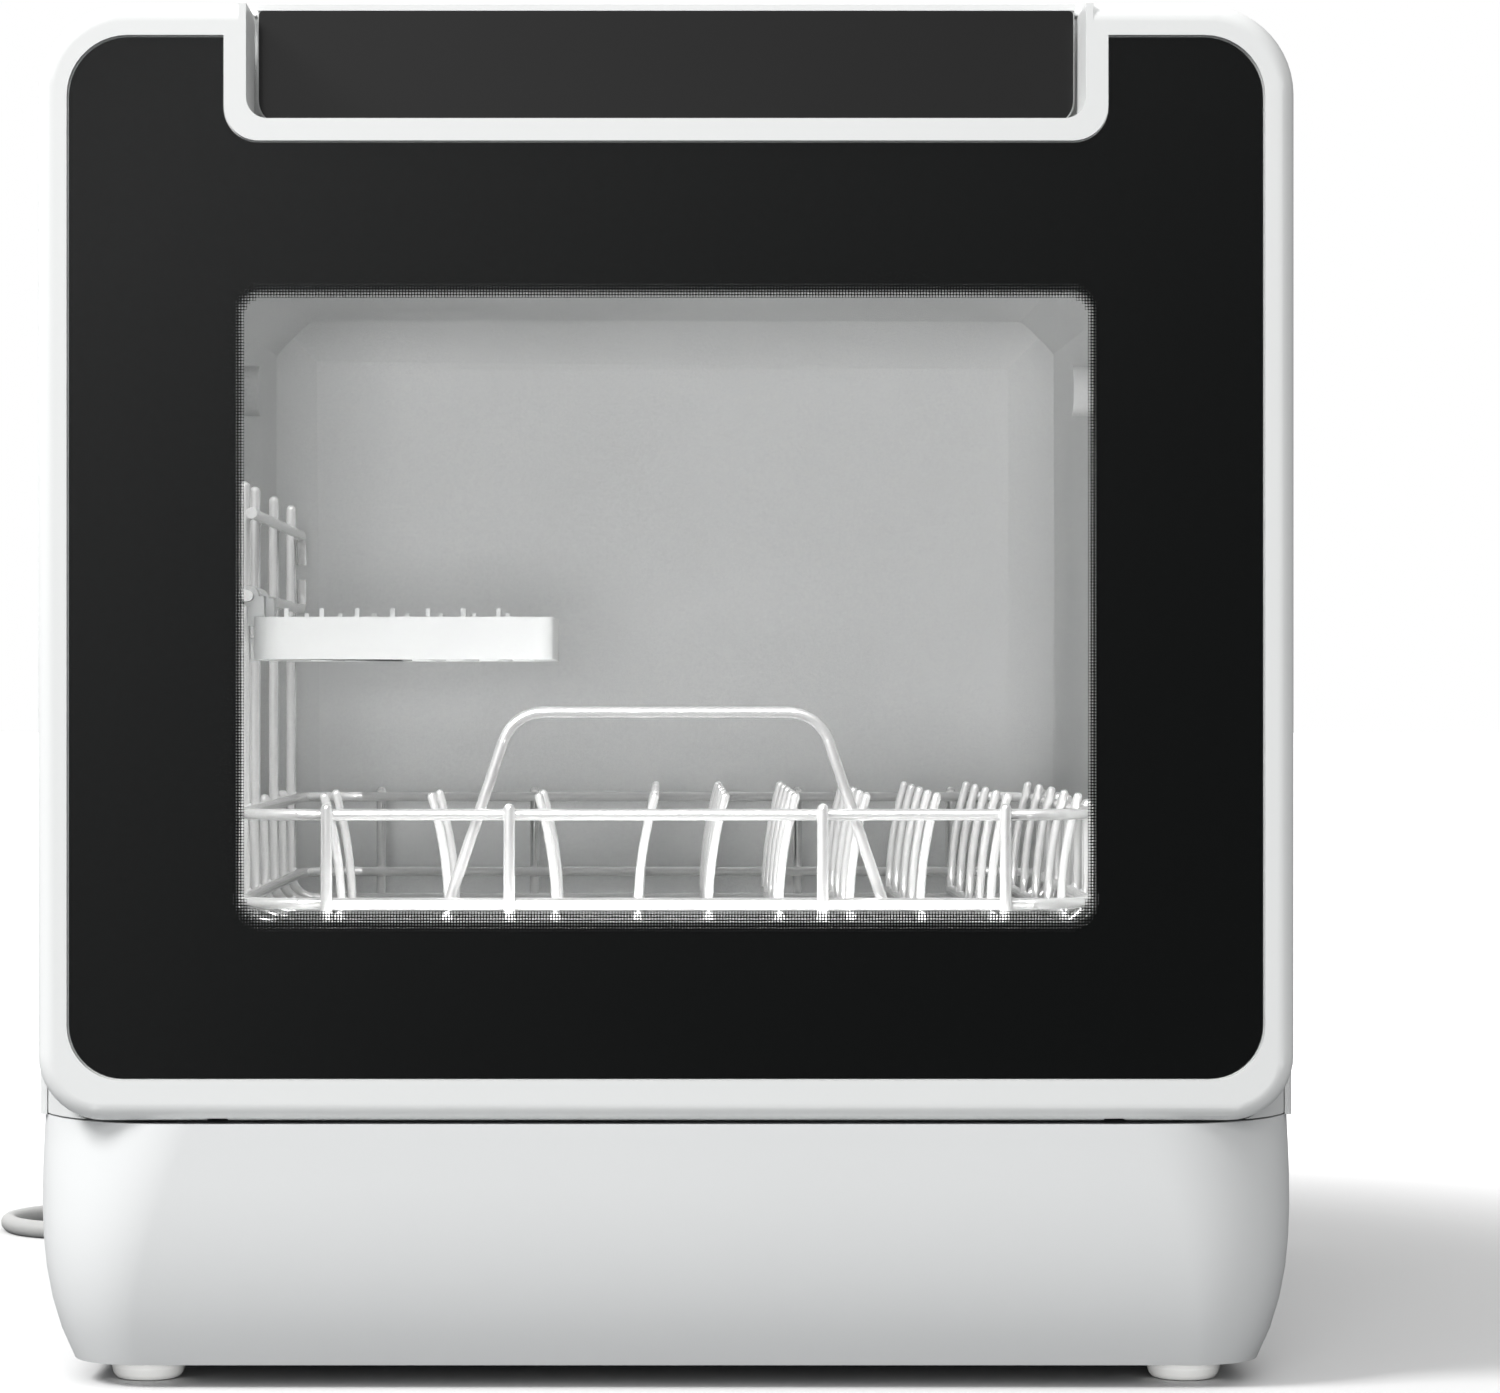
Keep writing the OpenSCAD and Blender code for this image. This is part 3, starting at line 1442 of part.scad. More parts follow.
module basket_tines() {
  color("silver") {
    for (i = [0:plate_cols - 1]) {
      x = plate_x + i * tine_pitch;
      rod(
        at(x, cross_d(0) - 2, tine_base_z), at(x, cross_d(cross_n - 1) + 2, tine_base_z), tine_base_d
      );
      for (k = [0:plate_rows - 1]) tine(x, basket_front_d + tine_first + k * tine_step, 1);
    }
    for (x = bowl_x) {
      rod(at(x, cross_d(0) - 2, tine_base_z), at(x, cross_d(2) + 2, tine_base_z), tine_base_d);
      for (k = [0:bowl_rows - 1]) tine(x, basket_front_d + tine_first + k * tine_step, -1);
    }
  }
}

module basket_handle() {
  d = rim_front_d + wire_d + 0.05;
  z = rim_low_z + handle_h;
  color("silver") {
    bent_wire([
      at(-handle_low_w / 2, d, rim_low_z - 1), at(-handle_top_w / 2, d, z),
      at(handle_top_w / 2, d, z), at(handle_low_w / 2, d, rim_low_z - 1)
    ], handle_r, wire_d);
  }
}

// ---------------------------------------------------------------- rack and shelf

rack_x = side_x - cross_over;
rack_top_z = rim_high_z + rack_h;
rack_wire_z = rack_top_z - rack_top;
hinge_wire_z = rim_high_z + rack_mid;
hinge_wire_front = cross_d(0) + 12;
hinge_wire_back = cross_d(cross_n - 1) + 12;

module side_rack() {
  color("silver") {
    for (i = rack_at) {
      rod(at(-side_x, cross_d(i), tip_z - wire_d / 2), at(-side_x, cross_d(i), rack_top_z - wire_d / 2), wire_d);
      translate(at(-side_x, cross_d(i), rack_top_z - wire_d / 2)) sphere(d = wire_d + bend_less);
    }
    bent_wire([
      at(-rack_x, cross_d(1) - 12, rack_wire_z), at(-rack_x, hinge_wire_back, rack_wire_z),
      at(-rack_x, hinge_wire_back, rack_wire_z - 12)
    ], 6, wire_d);
    bent_wire([
      at(-rack_x, hinge_wire_front, hinge_wire_z), at(-rack_x, hinge_wire_back, hinge_wire_z),
      at(-rack_x, hinge_wire_back, hinge_wire_z + 12)
    ], 6, wire_d);
  }
}

clip_w = 8;
clip_wall = 1.6;
clip_gap = 0.08;
clip_d = [cross_d(1) - cross_pitch / 2, cross_d(2) - cross_pitch / 2];
shelf_top = hinge_wire_z - shelf_drop;
shelf_low = shelf_top - shelf_t;
shelf_x = -side_x + wire_d / 2 + shelf_gap;
shelf_d = cross_d(0) + 6;
slat_w = 3;
clip_r = wire_d / 2 + clip_gap + clip_wall;

// Open frame with slats, a comb of teeth along its front and its back, and two clips on the wire
module cup_shelf() {
  inner_w = shelf_w - 2 * shelf_wall;
  inner_l = shelf_l - 2 * shelf_wall;
  teeth = floor((shelf_w - 30) / comb_pitch);
  color("white") difference() {
    union() {
      plan() translate([shelf_x + shelf_w / 2, shelf_d, shelf_low]) difference() {
        linear_extrude(shelf_t) round_outline(shelf_w, shelf_l, 5, 5);
        translate([0, shelf_wall, 3]) linear_extrude(shelf_t) round_outline(inner_w, inner_l, 3, 3);
        for (i = [0:teeth]) translate([
          -shelf_w / 2 + 14 + i * comb_pitch, shelf_wall + 6, -over
        ]) cube([comb_pitch - slat_w, inner_l - 12, shelf_t]);
      }
      for (i = [0:teeth], d = [shelf_d + 1, shelf_d + shelf_l - 3]) plan() translate([
        shelf_x + 14 - slat_w + i * comb_pitch, d, shelf_top - over
      ]) cube([1.6, 2, comb_h + over]);
      for (d = clip_d) face() translate([-rack_x, hinge_wire_z, d - clip_w / 2]) difference() {
        union() {
          cylinder(h = clip_w, r = clip_r);
          translate([0, -shelf_drop - 3, 0]) cube([clip_r + 2, shelf_drop + 3, clip_w]);
        }
        translate([0, 0, -over]) cylinder(h = clip_w + 2 * over, r = wire_d / 2 + clip_gap);
        translate([-clip_r - over, 0.4, -over]) rotate([0, 0, 20]) cube([clip_r + 1, clip_r, clip_w + 2 * over]);
      }
      for (i = [1, 2]) plan() block(
        [-side_x + wire_d / 2 + fit, cross_d(i) - 3, shelf_low],
        [shelf_x + 1, cross_d(i) + 3, shelf_low + 8]
      );
    }
    rod(at(-rack_x, shelf_d - 5, hinge_wire_z), at(-rack_x, shelf_d + shelf_l, hinge_wire_z), wire_d + 2 * clip_gap);
  }
}

// ---------------------------------------------------------------- mains lead

gland_x = 170;
gland_z = 106;
gland_neck_d = 14;
gland_out = 26;
cord_z = cord_d / 2;
cord_sides = 8;
back_y = front_y + body_d;

// Route of the lead from the gland to the coil: x from the middle, y behind the back panel, and the
// height of the cord's underside above the worktop
cord_route = [
  [-170, 26, 102.3], [-170, 34, 102.3], [-170, 49, 98], [-170, 60, 87], [-170, 65, 72],
  [-170, 68, 56], [-170, 71, 38], [-175, 74, 19], [-189, 76, 5], [-208, 78, 0],
  [-228, 78, 0], [-249, 78, 0], [-264, 75, 0], [-276, 67, 0], [-284, 54, 0],
  [-287, 40, 0], [-284, 26, 0], [-276, 13, 0], [-264, 5, 0], [-249, 2, 0],
  [-228, 2, 0], [-206, 2, 0], [-184, 3, 0], [-162, 3, 0], [-140, 4, 0],
  [-118, 4, 0], [-96, 5, 0], [-74, 5, 0], [-52, 6, 0], [-30, 6, 0.6],
  [-12, 6, 1.2], [5, 6, 1.2]
];
// A direction that no stretch of the route runs along
cord_aside = [0.2, 0.6, 0.8];

function ring_at(p, way, aside, r, n) =
  let (u = unit(cross(aside, way)), v = cross(way, u))
  [for (k = [0:n - 1]) p + r * (cos(360 * k / n) * u + sin(360 * k / n) * v)];

function way_at(path, i) = unit(path[min(i + 1, len(path) - 1)] - path[max(i - 1, 0)]);

// Tube of n sides along a path, closed flat at both ends
module swept(path, aside, d, n) {
  m = len(path);
  points = [for (i = [0:m - 1]) each ring_at(path[i], way_at(path, i), aside, d / 2, n)];
  sides = [
    for (i = [0:m - 2]) for (k = [0:n - 1])
      let (a = i * n + k, b = i * n + (k + 1) % n) each [[a, b + n, b], [a, a + n, b + n]]
  ];
  ends = [
    for (k = [1:n - 2]) each [[0, k, k + 1], [(m - 1) * n, (m - 1) * n + k + 1, (m - 1) * n + k]]
  ];
  polyhedron(points, concat(sides, ends));
}

// The coil: piled loops that spiral in, climb a layer where the spiral reverses, and spiral out
tie_t = 1.2;
coil_steps = 24;
coil_sides = 6;
coil_turns = 2;
coil_pitch = cord_d + 0.5;
coil_r = coil_d / 2 + coil_pitch * coil_turns / 2;
coil_x = 5 + cord_d;
coil_y = back_y + 6 + coil_r;
coil_z = cord_z + tie_t;
coil_mid = coil_turns + 0.25;
coil_tail = 44;

function coil_radius(u) = coil_r - coil_pitch * (coil_mid - abs(u - coil_mid));

function coil_height(u) =
  coil_z + coil_pitch * (1 - cos(360 * min(max(u - coil_turns, 0), 0.5))) / 2;

function coil_point(u) = [
  coil_x + coil_radius(u) * sin(360 * u), coil_y - coil_radius(u) * cos(360 * u), coil_height(u)
];

coil_loops = [for (i = [0:2 * coil_mid * coil_steps]) coil_point(i / coil_steps)];
coil_path = concat(
  [coil_point(0) - [cord_d, 0, 0]],
  coil_loops,
  [for (k = [1:2]) coil_point(2 * coil_mid) - [coil_tail * k / 2, 0, 0]]
);
coil_gaps = [
  for (i = [0:len(coil_loops) - 1]) for (k = [i + coil_steps / 2:len(coil_loops) - 1])
    norm(coil_loops[i] - coil_loops[k]) - cord_d
];
echo("least gap of the coil to itself", min(coil_gaps));

module cord_gland() {
  color("lightgray") face() translate([-gland_x, gland_z, 0]) {
    translate([0, 0, panel_front - 3]) cylinder(h = back_t + 3, d = gland_neck_d);
    translate([0, 0, panel_front - 5]) cylinder(h = 5, d = gland_neck_d + 6);
    translate([0, 0, body_d]) cylinder(h = 3, d = gland_neck_d + 6);
    translate([0, 0, body_d]) cylinder(h = gland_out, d1 = gland_neck_d, d2 = cord_d + 1.6);
  }
}

module cord_tube() {
  path = [for (p = cord_route) [p[0], back_y + p[1], cord_z + p[2]]];
  color("lightgray") swept(path, cord_aside, cord_d, cord_sides);
}

module cord_coil() {
  color("lightgray") swept(coil_path, [0, 0, 1], cord_d, coil_sides);
}

tie_w = 8;

// Strap round the four turns at the coil's left side
module coil_tie() {
  w = cord_d + coil_pitch + 1.2;
  h = cord_d + coil_pitch + fit;
  mean = coil_r - 1.25 * coil_pitch;
  color("dimgray") translate([coil_x - mean, coil_y + tie_w / 2, 0]) rotate([90, 0, 0]) difference() {
    linear_extrude(tie_w) round_outline(w + 2 * tie_t, h + 2 * tie_t, 2, 2);
    translate([0, tie_t, -over]) linear_extrude(tie_w + 2 * over) round_outline(w, h, 0.8, 0.8);
  }
}

plug_l = 36;
plug_w = 28;
plug_sleeve = 14;
plug_z = coil_z + coil_pitch;
blade_l = 17;

module power_plug() {
  x = coil_x - coil_tail;
  color("lightgray") translate([x, coil_y + coil_r, plug_z]) rotate([0, -90, 0]) {
    cylinder(h = plug_sleeve + 1, d1 = cord_d + 2, d2 = 15);
    translate([-plug_z, 0, plug_sleeve]) rotate([0, 0, -90]) linear_extrude(plug_l)
      round_outline(plug_w, 2 * plug_z, 7, 7);
  }
  color("silver") translate([x - plug_sleeve - plug_l, coil_y + coil_r, plug_z]) {
    for (s = [-1, 1]) block([-blade_l, s * 6.35 - 0.8, 0], [1, s * 6.35 + 0.8, 6.4]);
    translate([0, 0, -6]) rotate([0, -90, 0]) cylinder(h = blade_l + 2, d = 4.8);
  }
}

base_shell();
base_floor();
chassis_deck();
feet();
cabinet_wrap();
front_frame();
back_panel();
back_screws();
console_housing();
control_glass();
control_board();
fill_funnel();
fill_lid();
water_tank();
tub();
tub_gasket();
sump();
filter_plate();
filter_cup();
spray_hub();
spray_arm();
wash_pump();
heater();
drain_pump();
pump_hose();
spray_hose();
drain_hose();
inlet_valve();
drain_spigot();
float_dome();
power_board();
fan_housing();
fan_impeller();
latch_housing();
switch_plunger();
hinge_brackets();
hinge_pins();
door_frame();
door_glass();
inner_glass();
window_spacer();
door_liner();
handle_pocket();
door_striker();
dispenser_tray();
dispenser_lid();
basket_floor();
basket_front();
basket_back();
basket_left();
basket_right();
basket_tines();
basket_handle();
side_rack();
cup_shelf();
cord_gland();
cord_tube();
cord_coil();
coil_tie();
power_plug();
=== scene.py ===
"""Looks of a countertop dishwasher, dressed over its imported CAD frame.

Everything is in metres in the frame's axes: X to the right, Y to the back and Z up, with the origin
in the middle of the footprint on the worktop. Most classes think in millimetres from the door's face
and turn them into the frame through Place.
"""

import json
import logging
import math
from collections.abc import Callable
from dataclasses import dataclass, field
from enum import Enum
from functools import cache

import bmesh
import bpy
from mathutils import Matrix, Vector

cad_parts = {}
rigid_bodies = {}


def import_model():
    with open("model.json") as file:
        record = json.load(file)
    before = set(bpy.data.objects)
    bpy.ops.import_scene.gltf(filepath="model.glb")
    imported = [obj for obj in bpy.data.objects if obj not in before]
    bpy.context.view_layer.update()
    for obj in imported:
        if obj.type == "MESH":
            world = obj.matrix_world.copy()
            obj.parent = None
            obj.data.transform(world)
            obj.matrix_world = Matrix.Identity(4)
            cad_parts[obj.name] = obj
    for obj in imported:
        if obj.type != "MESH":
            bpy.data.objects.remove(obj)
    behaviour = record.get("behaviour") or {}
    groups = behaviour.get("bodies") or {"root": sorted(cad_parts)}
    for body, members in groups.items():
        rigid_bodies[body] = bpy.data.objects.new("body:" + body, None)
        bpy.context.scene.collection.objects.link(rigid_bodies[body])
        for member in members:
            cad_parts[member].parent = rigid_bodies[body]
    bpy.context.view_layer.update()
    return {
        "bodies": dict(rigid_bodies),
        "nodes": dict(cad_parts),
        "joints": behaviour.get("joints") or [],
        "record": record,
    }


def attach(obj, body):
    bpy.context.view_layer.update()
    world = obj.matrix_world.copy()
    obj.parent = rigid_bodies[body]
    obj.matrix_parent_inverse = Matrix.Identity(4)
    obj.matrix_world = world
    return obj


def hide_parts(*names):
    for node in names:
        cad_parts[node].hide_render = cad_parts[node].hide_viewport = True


LOG = logging.getLogger("dishwasher")
MM = 0.001
WHITE = (1.0, 1.0, 1.0, 1.0)
COAT_ROUGHNESS = 0.06
BUMP_DEPTH = 0.2 * MM


class Axis(Enum):
    """The axes across which two wires touch, with their index."""

    X = 0
    Y = 1


@dataclass(frozen=True)
class Place:
    """Turns depths behind the door's face, in millimetres, into the frame."""

    front_y: float = -223.0
    panel_depth: float = 430.0

    def at(self, x: float, depth: float, height: float) -> Vector:
        """Gives the point at x, depth and height, all in millimetres.

        Args:
            x: distance to the right of the middle.
            depth: distance behind the door's face.
            height: distance above the worktop.

        Returns:
            The point in metres.
        """
        return Vector((x, self.front_y + depth, height)) * MM


PLACE = Place()


# ------------------------------------------------------------------ finishes


class Wiring:
    """Adds the nodes of one shader tree and links them."""

    def __init__(self, tree: bpy.types.NodeTree) -> None:
        """Takes the tree that is wired."""
        self.tree = tree

    def feed(self, socket: bpy.types.NodeSocket, value: object) -> None:
        """Links an input to another node's output, or sets it to a constant."""
        if isinstance(value, bpy.types.NodeSocket):
            self.tree.links.new(value, socket)
        else:
            socket.default_value = value

    def add(
        self, kind: str, inputs: dict[str | int, object] | None = None, **settings: object
    ) -> bpy.types.Node:
        """Adds one node.

        Args:
            kind: the node's type after the word ShaderNode.
            inputs: what each input gets, either a constant or the output that feeds it.
            settings: the node's own settings.

        Returns:
            The new node.
        """
        node = self.tree.nodes.new(f"ShaderNode{kind}")
        for label, value in settings.items():
            setattr(node, label, value)
        for label, value in (inputs or {}).items():
            self.feed(node.inputs[label], value)
        return node

    def math(self, operation: str, *inputs: object) -> bpy.types.NodeSocket:
        """Adds a Math node with these inputs and gives its output."""
        return self.add("Math", dict(enumerate(inputs)), operation=operation).outputs["Value"]

    def noise(self, place: object, scale: object, detail: int) -> bpy.types.NodeSocket:
        """Adds a noise texture and gives its strength."""
        inputs = {"Vector": place, "Scale": scale, "Detail": detail}
        return self.add("TexNoise", inputs).outputs["Fac"]


class Groups:
    """Shader node groups that several finishes share, each built once."""

    INPUTS = {
        "Colour": "Color", "Shade Colour": "Color", "Coarse Scale": "Float", "Fine Scale": "Float",
        "Roughness": "Float", "Roughness Spread": "Float", "Stretch": "Vector",
    }
    OUTPUTS = {"Colour": "Color", "Roughness": "Float", "Height": "Float"}

    def _start(self, name: str) -> tuple[Wiring, bpy.types.Node]:
        """Makes an empty group.

        Args:
            name: the group's name.

        Returns:
            The group's wiring and its input node.
        """
        tree = bpy.data.node_groups.new(name, "ShaderNodeTree")
        for in_out, sockets in (("INPUT", self.INPUTS), ("OUTPUT", self.OUTPUTS)):
            for label, kind in sockets.items():
                tree.interface.new_socket(label, in_out=in_out, socket_type=f"NodeSocket{kind}")
        return Wiring(tree), tree.nodes.new("NodeGroupInput")

    @staticmethod
    def _end(
        wiring: Wiring, start: bpy.types.Node, tint: object, relief: object
    ) -> bpy.types.ShaderNodeTree:
        """Turns two patterns into the group's outputs.

        Args:
            wiring: the group's wiring.
            start: its input node.
            tint: the pattern that mixes the two colours.
            relief: the pattern of the roughness and the height.

        Returns:
            The finished group.
        """
        given = start.outputs
        colours = {"Factor": tint, "A": given["Colour"], "B": given["Shade Colour"]}
        mixed = wiring.add("Mix", colours, data_type="RGBA").outputs["Result"]
        rough = wiring.math("MULTIPLY_ADD", relief, given["Roughness Spread"], given["Roughness"])
        end = wiring.tree.nodes.new("NodeGroupOutput")
        for socket, value in zip(end.inputs, (mixed, rough, relief)):
            wiring.feed(socket, value)
        return wiring.tree

    @cache
    def moulding(self) -> bpy.types.ShaderNodeTree:
        """Gives the group for painted and moulded skins: soft mottling and a fine orange peel."""
        wiring, start = self._start("moulded_skin")
        place = wiring.add("TexCoord").outputs["Object"]
        mottle = wiring.noise(place, start.outputs["Coarse Scale"], 3)
        peel = wiring.noise(place, start.outputs["Fine Scale"], 2)
        return self._end(wiring, start, mottle, peel)

    @cache
    def brushed(self) -> bpy.types.ShaderNodeTree:
        """Gives the group for rolled and brushed metal: long streaks with a fine speckle."""
        wiring, start = self._start("brushed_metal")
        place = wiring.add("TexCoord").outputs["Object"]
        vectors = {0: place, 1: start.outputs["Stretch"]}
        drawn = wiring.add("VectorMath", vectors, operation="MULTIPLY").outputs["Vector"]
        streak = wiring.noise(drawn, start.outputs["Coarse Scale"], 4)
        speckle = wiring.noise(place, start.outputs["Fine Scale"], 1)
        half = wiring.math("MULTIPLY", streak, 0.5)
        both = wiring.math("MULTIPLY_ADD", speckle, 0.5, half)
        return self._end(wiring, start, both, both)


class Skin(Enum):
    """Which shared group a finish is built on."""

    MOULDED = "moulding"
    BRUSHED = "brushed"


@dataclass(frozen=True)
class Finish:
    """One finish of the dishwasher: its colours, gloss and texture."""

    name: str
    colour: tuple[float, float, float]
    shade: tuple[float, float, float]
    roughness: float = 0.4
    spread: float = 0.08
    skin: Skin = Skin.MOULDED
    metallic: float = 0.0
    coarse: float = 12.0
    fine: float = 900.0
    bump: float = 0.05
    coat: float = 0.0
    alpha: float = 1.0
    specular: float = 0.5
    stretch: tuple[float, float, float] = (1.0, 1.0, 30.0)

    def material(self, groups: Groups) -> bpy.types.Material:
        """Builds the finish as a procedural material.

        Args:
            groups: the shared node groups.

        Returns:
            The material, named after the finish.
        """
        made = bpy.data.materials.new(self.name)
        made.use_nodes = True
        wiring = Wiring(made.node_tree)
        shader = made.node_tree.nodes["Principled BSDF"].inputs
        for label, value in (
            ("Metallic", self.metallic), ("Coat Weight", self.coat), ("Coat Roughness", COAT_ROUGHNESS),
            ("Alpha", self.alpha), ("Specular IOR Level", self.specular),
        ):
            wiring.feed(shader[label], value)
        values = {
            "Colour": (*self.colour, 1), "Shade Colour": (*self.shade, 1), "Coarse Scale": self.coarse,
            "Fine Scale": self.fine, "Roughness": self.roughness, "Roughness Spread": self.spread,
            "Stretch": self.stretch,
        }
        skin = wiring.add("Group", node_tree=getattr(groups, self.skin.value)())
        for label, value in values.items():
            wiring.feed(skin.inputs[label], value)
        wiring.feed(shader["Base Color"], skin.outputs["Colour"])
        wiring.feed(shader["Roughness"], skin.outputs["Roughness"])
        if self.bump:
            relief = {"Strength": self.bump, "Distance": BUMP_DEPTH, "Height": skin.outputs["Height"]}
            wiring.feed(shader["Normal"], wiring.add("Bump", relief).outputs["Normal"])
        return made


FINISHES: dict[str, Finish] = {
    "white_paint": Finish("white_enamel", (0.86, 0.87, 0.865), (0.84, 0.85, 0.845), 0.32, specular=0.3),
    "white_plastic": Finish(
        "white_moulding", (0.87, 0.88, 0.875), (0.85, 0.86, 0.855), 0.3, specular=0.3
    ),
    "base_plastic": Finish(
        "base_moulding", (0.83, 0.84, 0.84), (0.81, 0.82, 0.82), 0.38, specular=0.25
    ),
    "foot_rubber": Finish("pale_rubber", (0.52, 0.52, 0.51), (0.48, 0.48, 0.47), 0.6, bump=0.15),
    "steel_sheet": Finish(
        "zinc_sheet", (0.55, 0.56, 0.57), (0.48, 0.49, 0.5), 0.4, 0.15, Skin.BRUSHED, 0.85, 30.0
    ),
    "tub_steel": Finish(
        "tub_steel", (0.83, 0.835, 0.83), (0.59, 0.595, 0.59), 0.5, 0.1, Skin.BRUSHED, 0.25, 9.0,
        stretch=(1.0, 1.0, 1.0),
    ),
    "chrome_wire": Finish(
        "bright_wire", (0.9, 0.9, 0.895), (0.86, 0.86, 0.855), 0.22, 0.04, Skin.BRUSHED, 0.7, 50.0,
        600.0, bump=0.0, stretch=(1.0, 1.0, 1.0),
    ),
    "steel_pin": Finish(
        "turned_steel", (0.62, 0.62, 0.63), (0.5, 0.5, 0.51), 0.28, 0.12, Skin.BRUSHED, 0.95, 80.0
    ),
    "black_glass": Finish(
        "black_glass", (0.002, 0.002, 0.002), (0.0015, 0.0015, 0.0015), 0.06, 0.02, bump=0.0,
        specular=0.23,
    ),
    "clear_glass": Finish(
        "clear_glass", (0.02, 0.025, 0.025), (0.02, 0.025, 0.025), 0.03, 0.01, bump=0.0, alpha=0.1,
        specular=0.23,
    ),
    "console_glass": Finish(
        "console_glass", (0.012, 0.012, 0.012), (0.01, 0.01, 0.01), 0.12, 0.03, bump=0.0,
        specular=0.25,
    ),
    "seal_rubber": Finish("seal_rubber", (0.08, 0.08, 0.08), (0.06, 0.06, 0.06), 0.65, bump=0.2),
    "grey_plastic": Finish("grey_moulding", (0.32, 0.33, 0.34), (0.29, 0.3, 0.31), 0.42, bump=0.1),
    "dark_plastic": Finish(
        "dark_moulding", (0.035, 0.035, 0.038), (0.028, 0.028, 0.03), 0.45, bump=0.1
    ),
    "hose_rubber": Finish("hose_rubber", (0.03, 0.03, 0.032), (0.022, 0.022, 0.024), 0.55, bump=0.2),
    "board_green": Finish("circuit_board", (0.02, 0.1, 0.05), (0.015, 0.08, 0.04), 0.35),
    "tank_plastic": Finish("milky_tank", (0.6, 0.66, 0.68), (0.56, 0.62, 0.64), 0.35, coat=0.1),
    "cord_plastic": Finish("lead_jacket", (0.55, 0.55, 0.54), (0.5, 0.5, 0.49), 0.45, bump=0.1),
    "red_plastic": Finish("red_button", (0.45, 0.03, 0.025), (0.4, 0.025, 0.02), 0.3),
}


class Wardrobe:
    """Keeps the materials and gives each slot its own."""

    def __init__(self) -> None:
        """Builds the material of every slot."""
        groups = Groups()
        self.made = {slot: finish.material(groups) for slot, finish in FINISHES.items()}

    def dress(self, piece: bpy.types.Object, slot: str) -> None:
        """Gives a piece the material of a slot, and nothing else.

        Args:
            piece: the object to dress.
            slot: the record's material slot.
        """
        piece.data.materials.clear()
        piece.data.materials.append(self.made[slot])


# ------------------------------------------------------------------ workshop


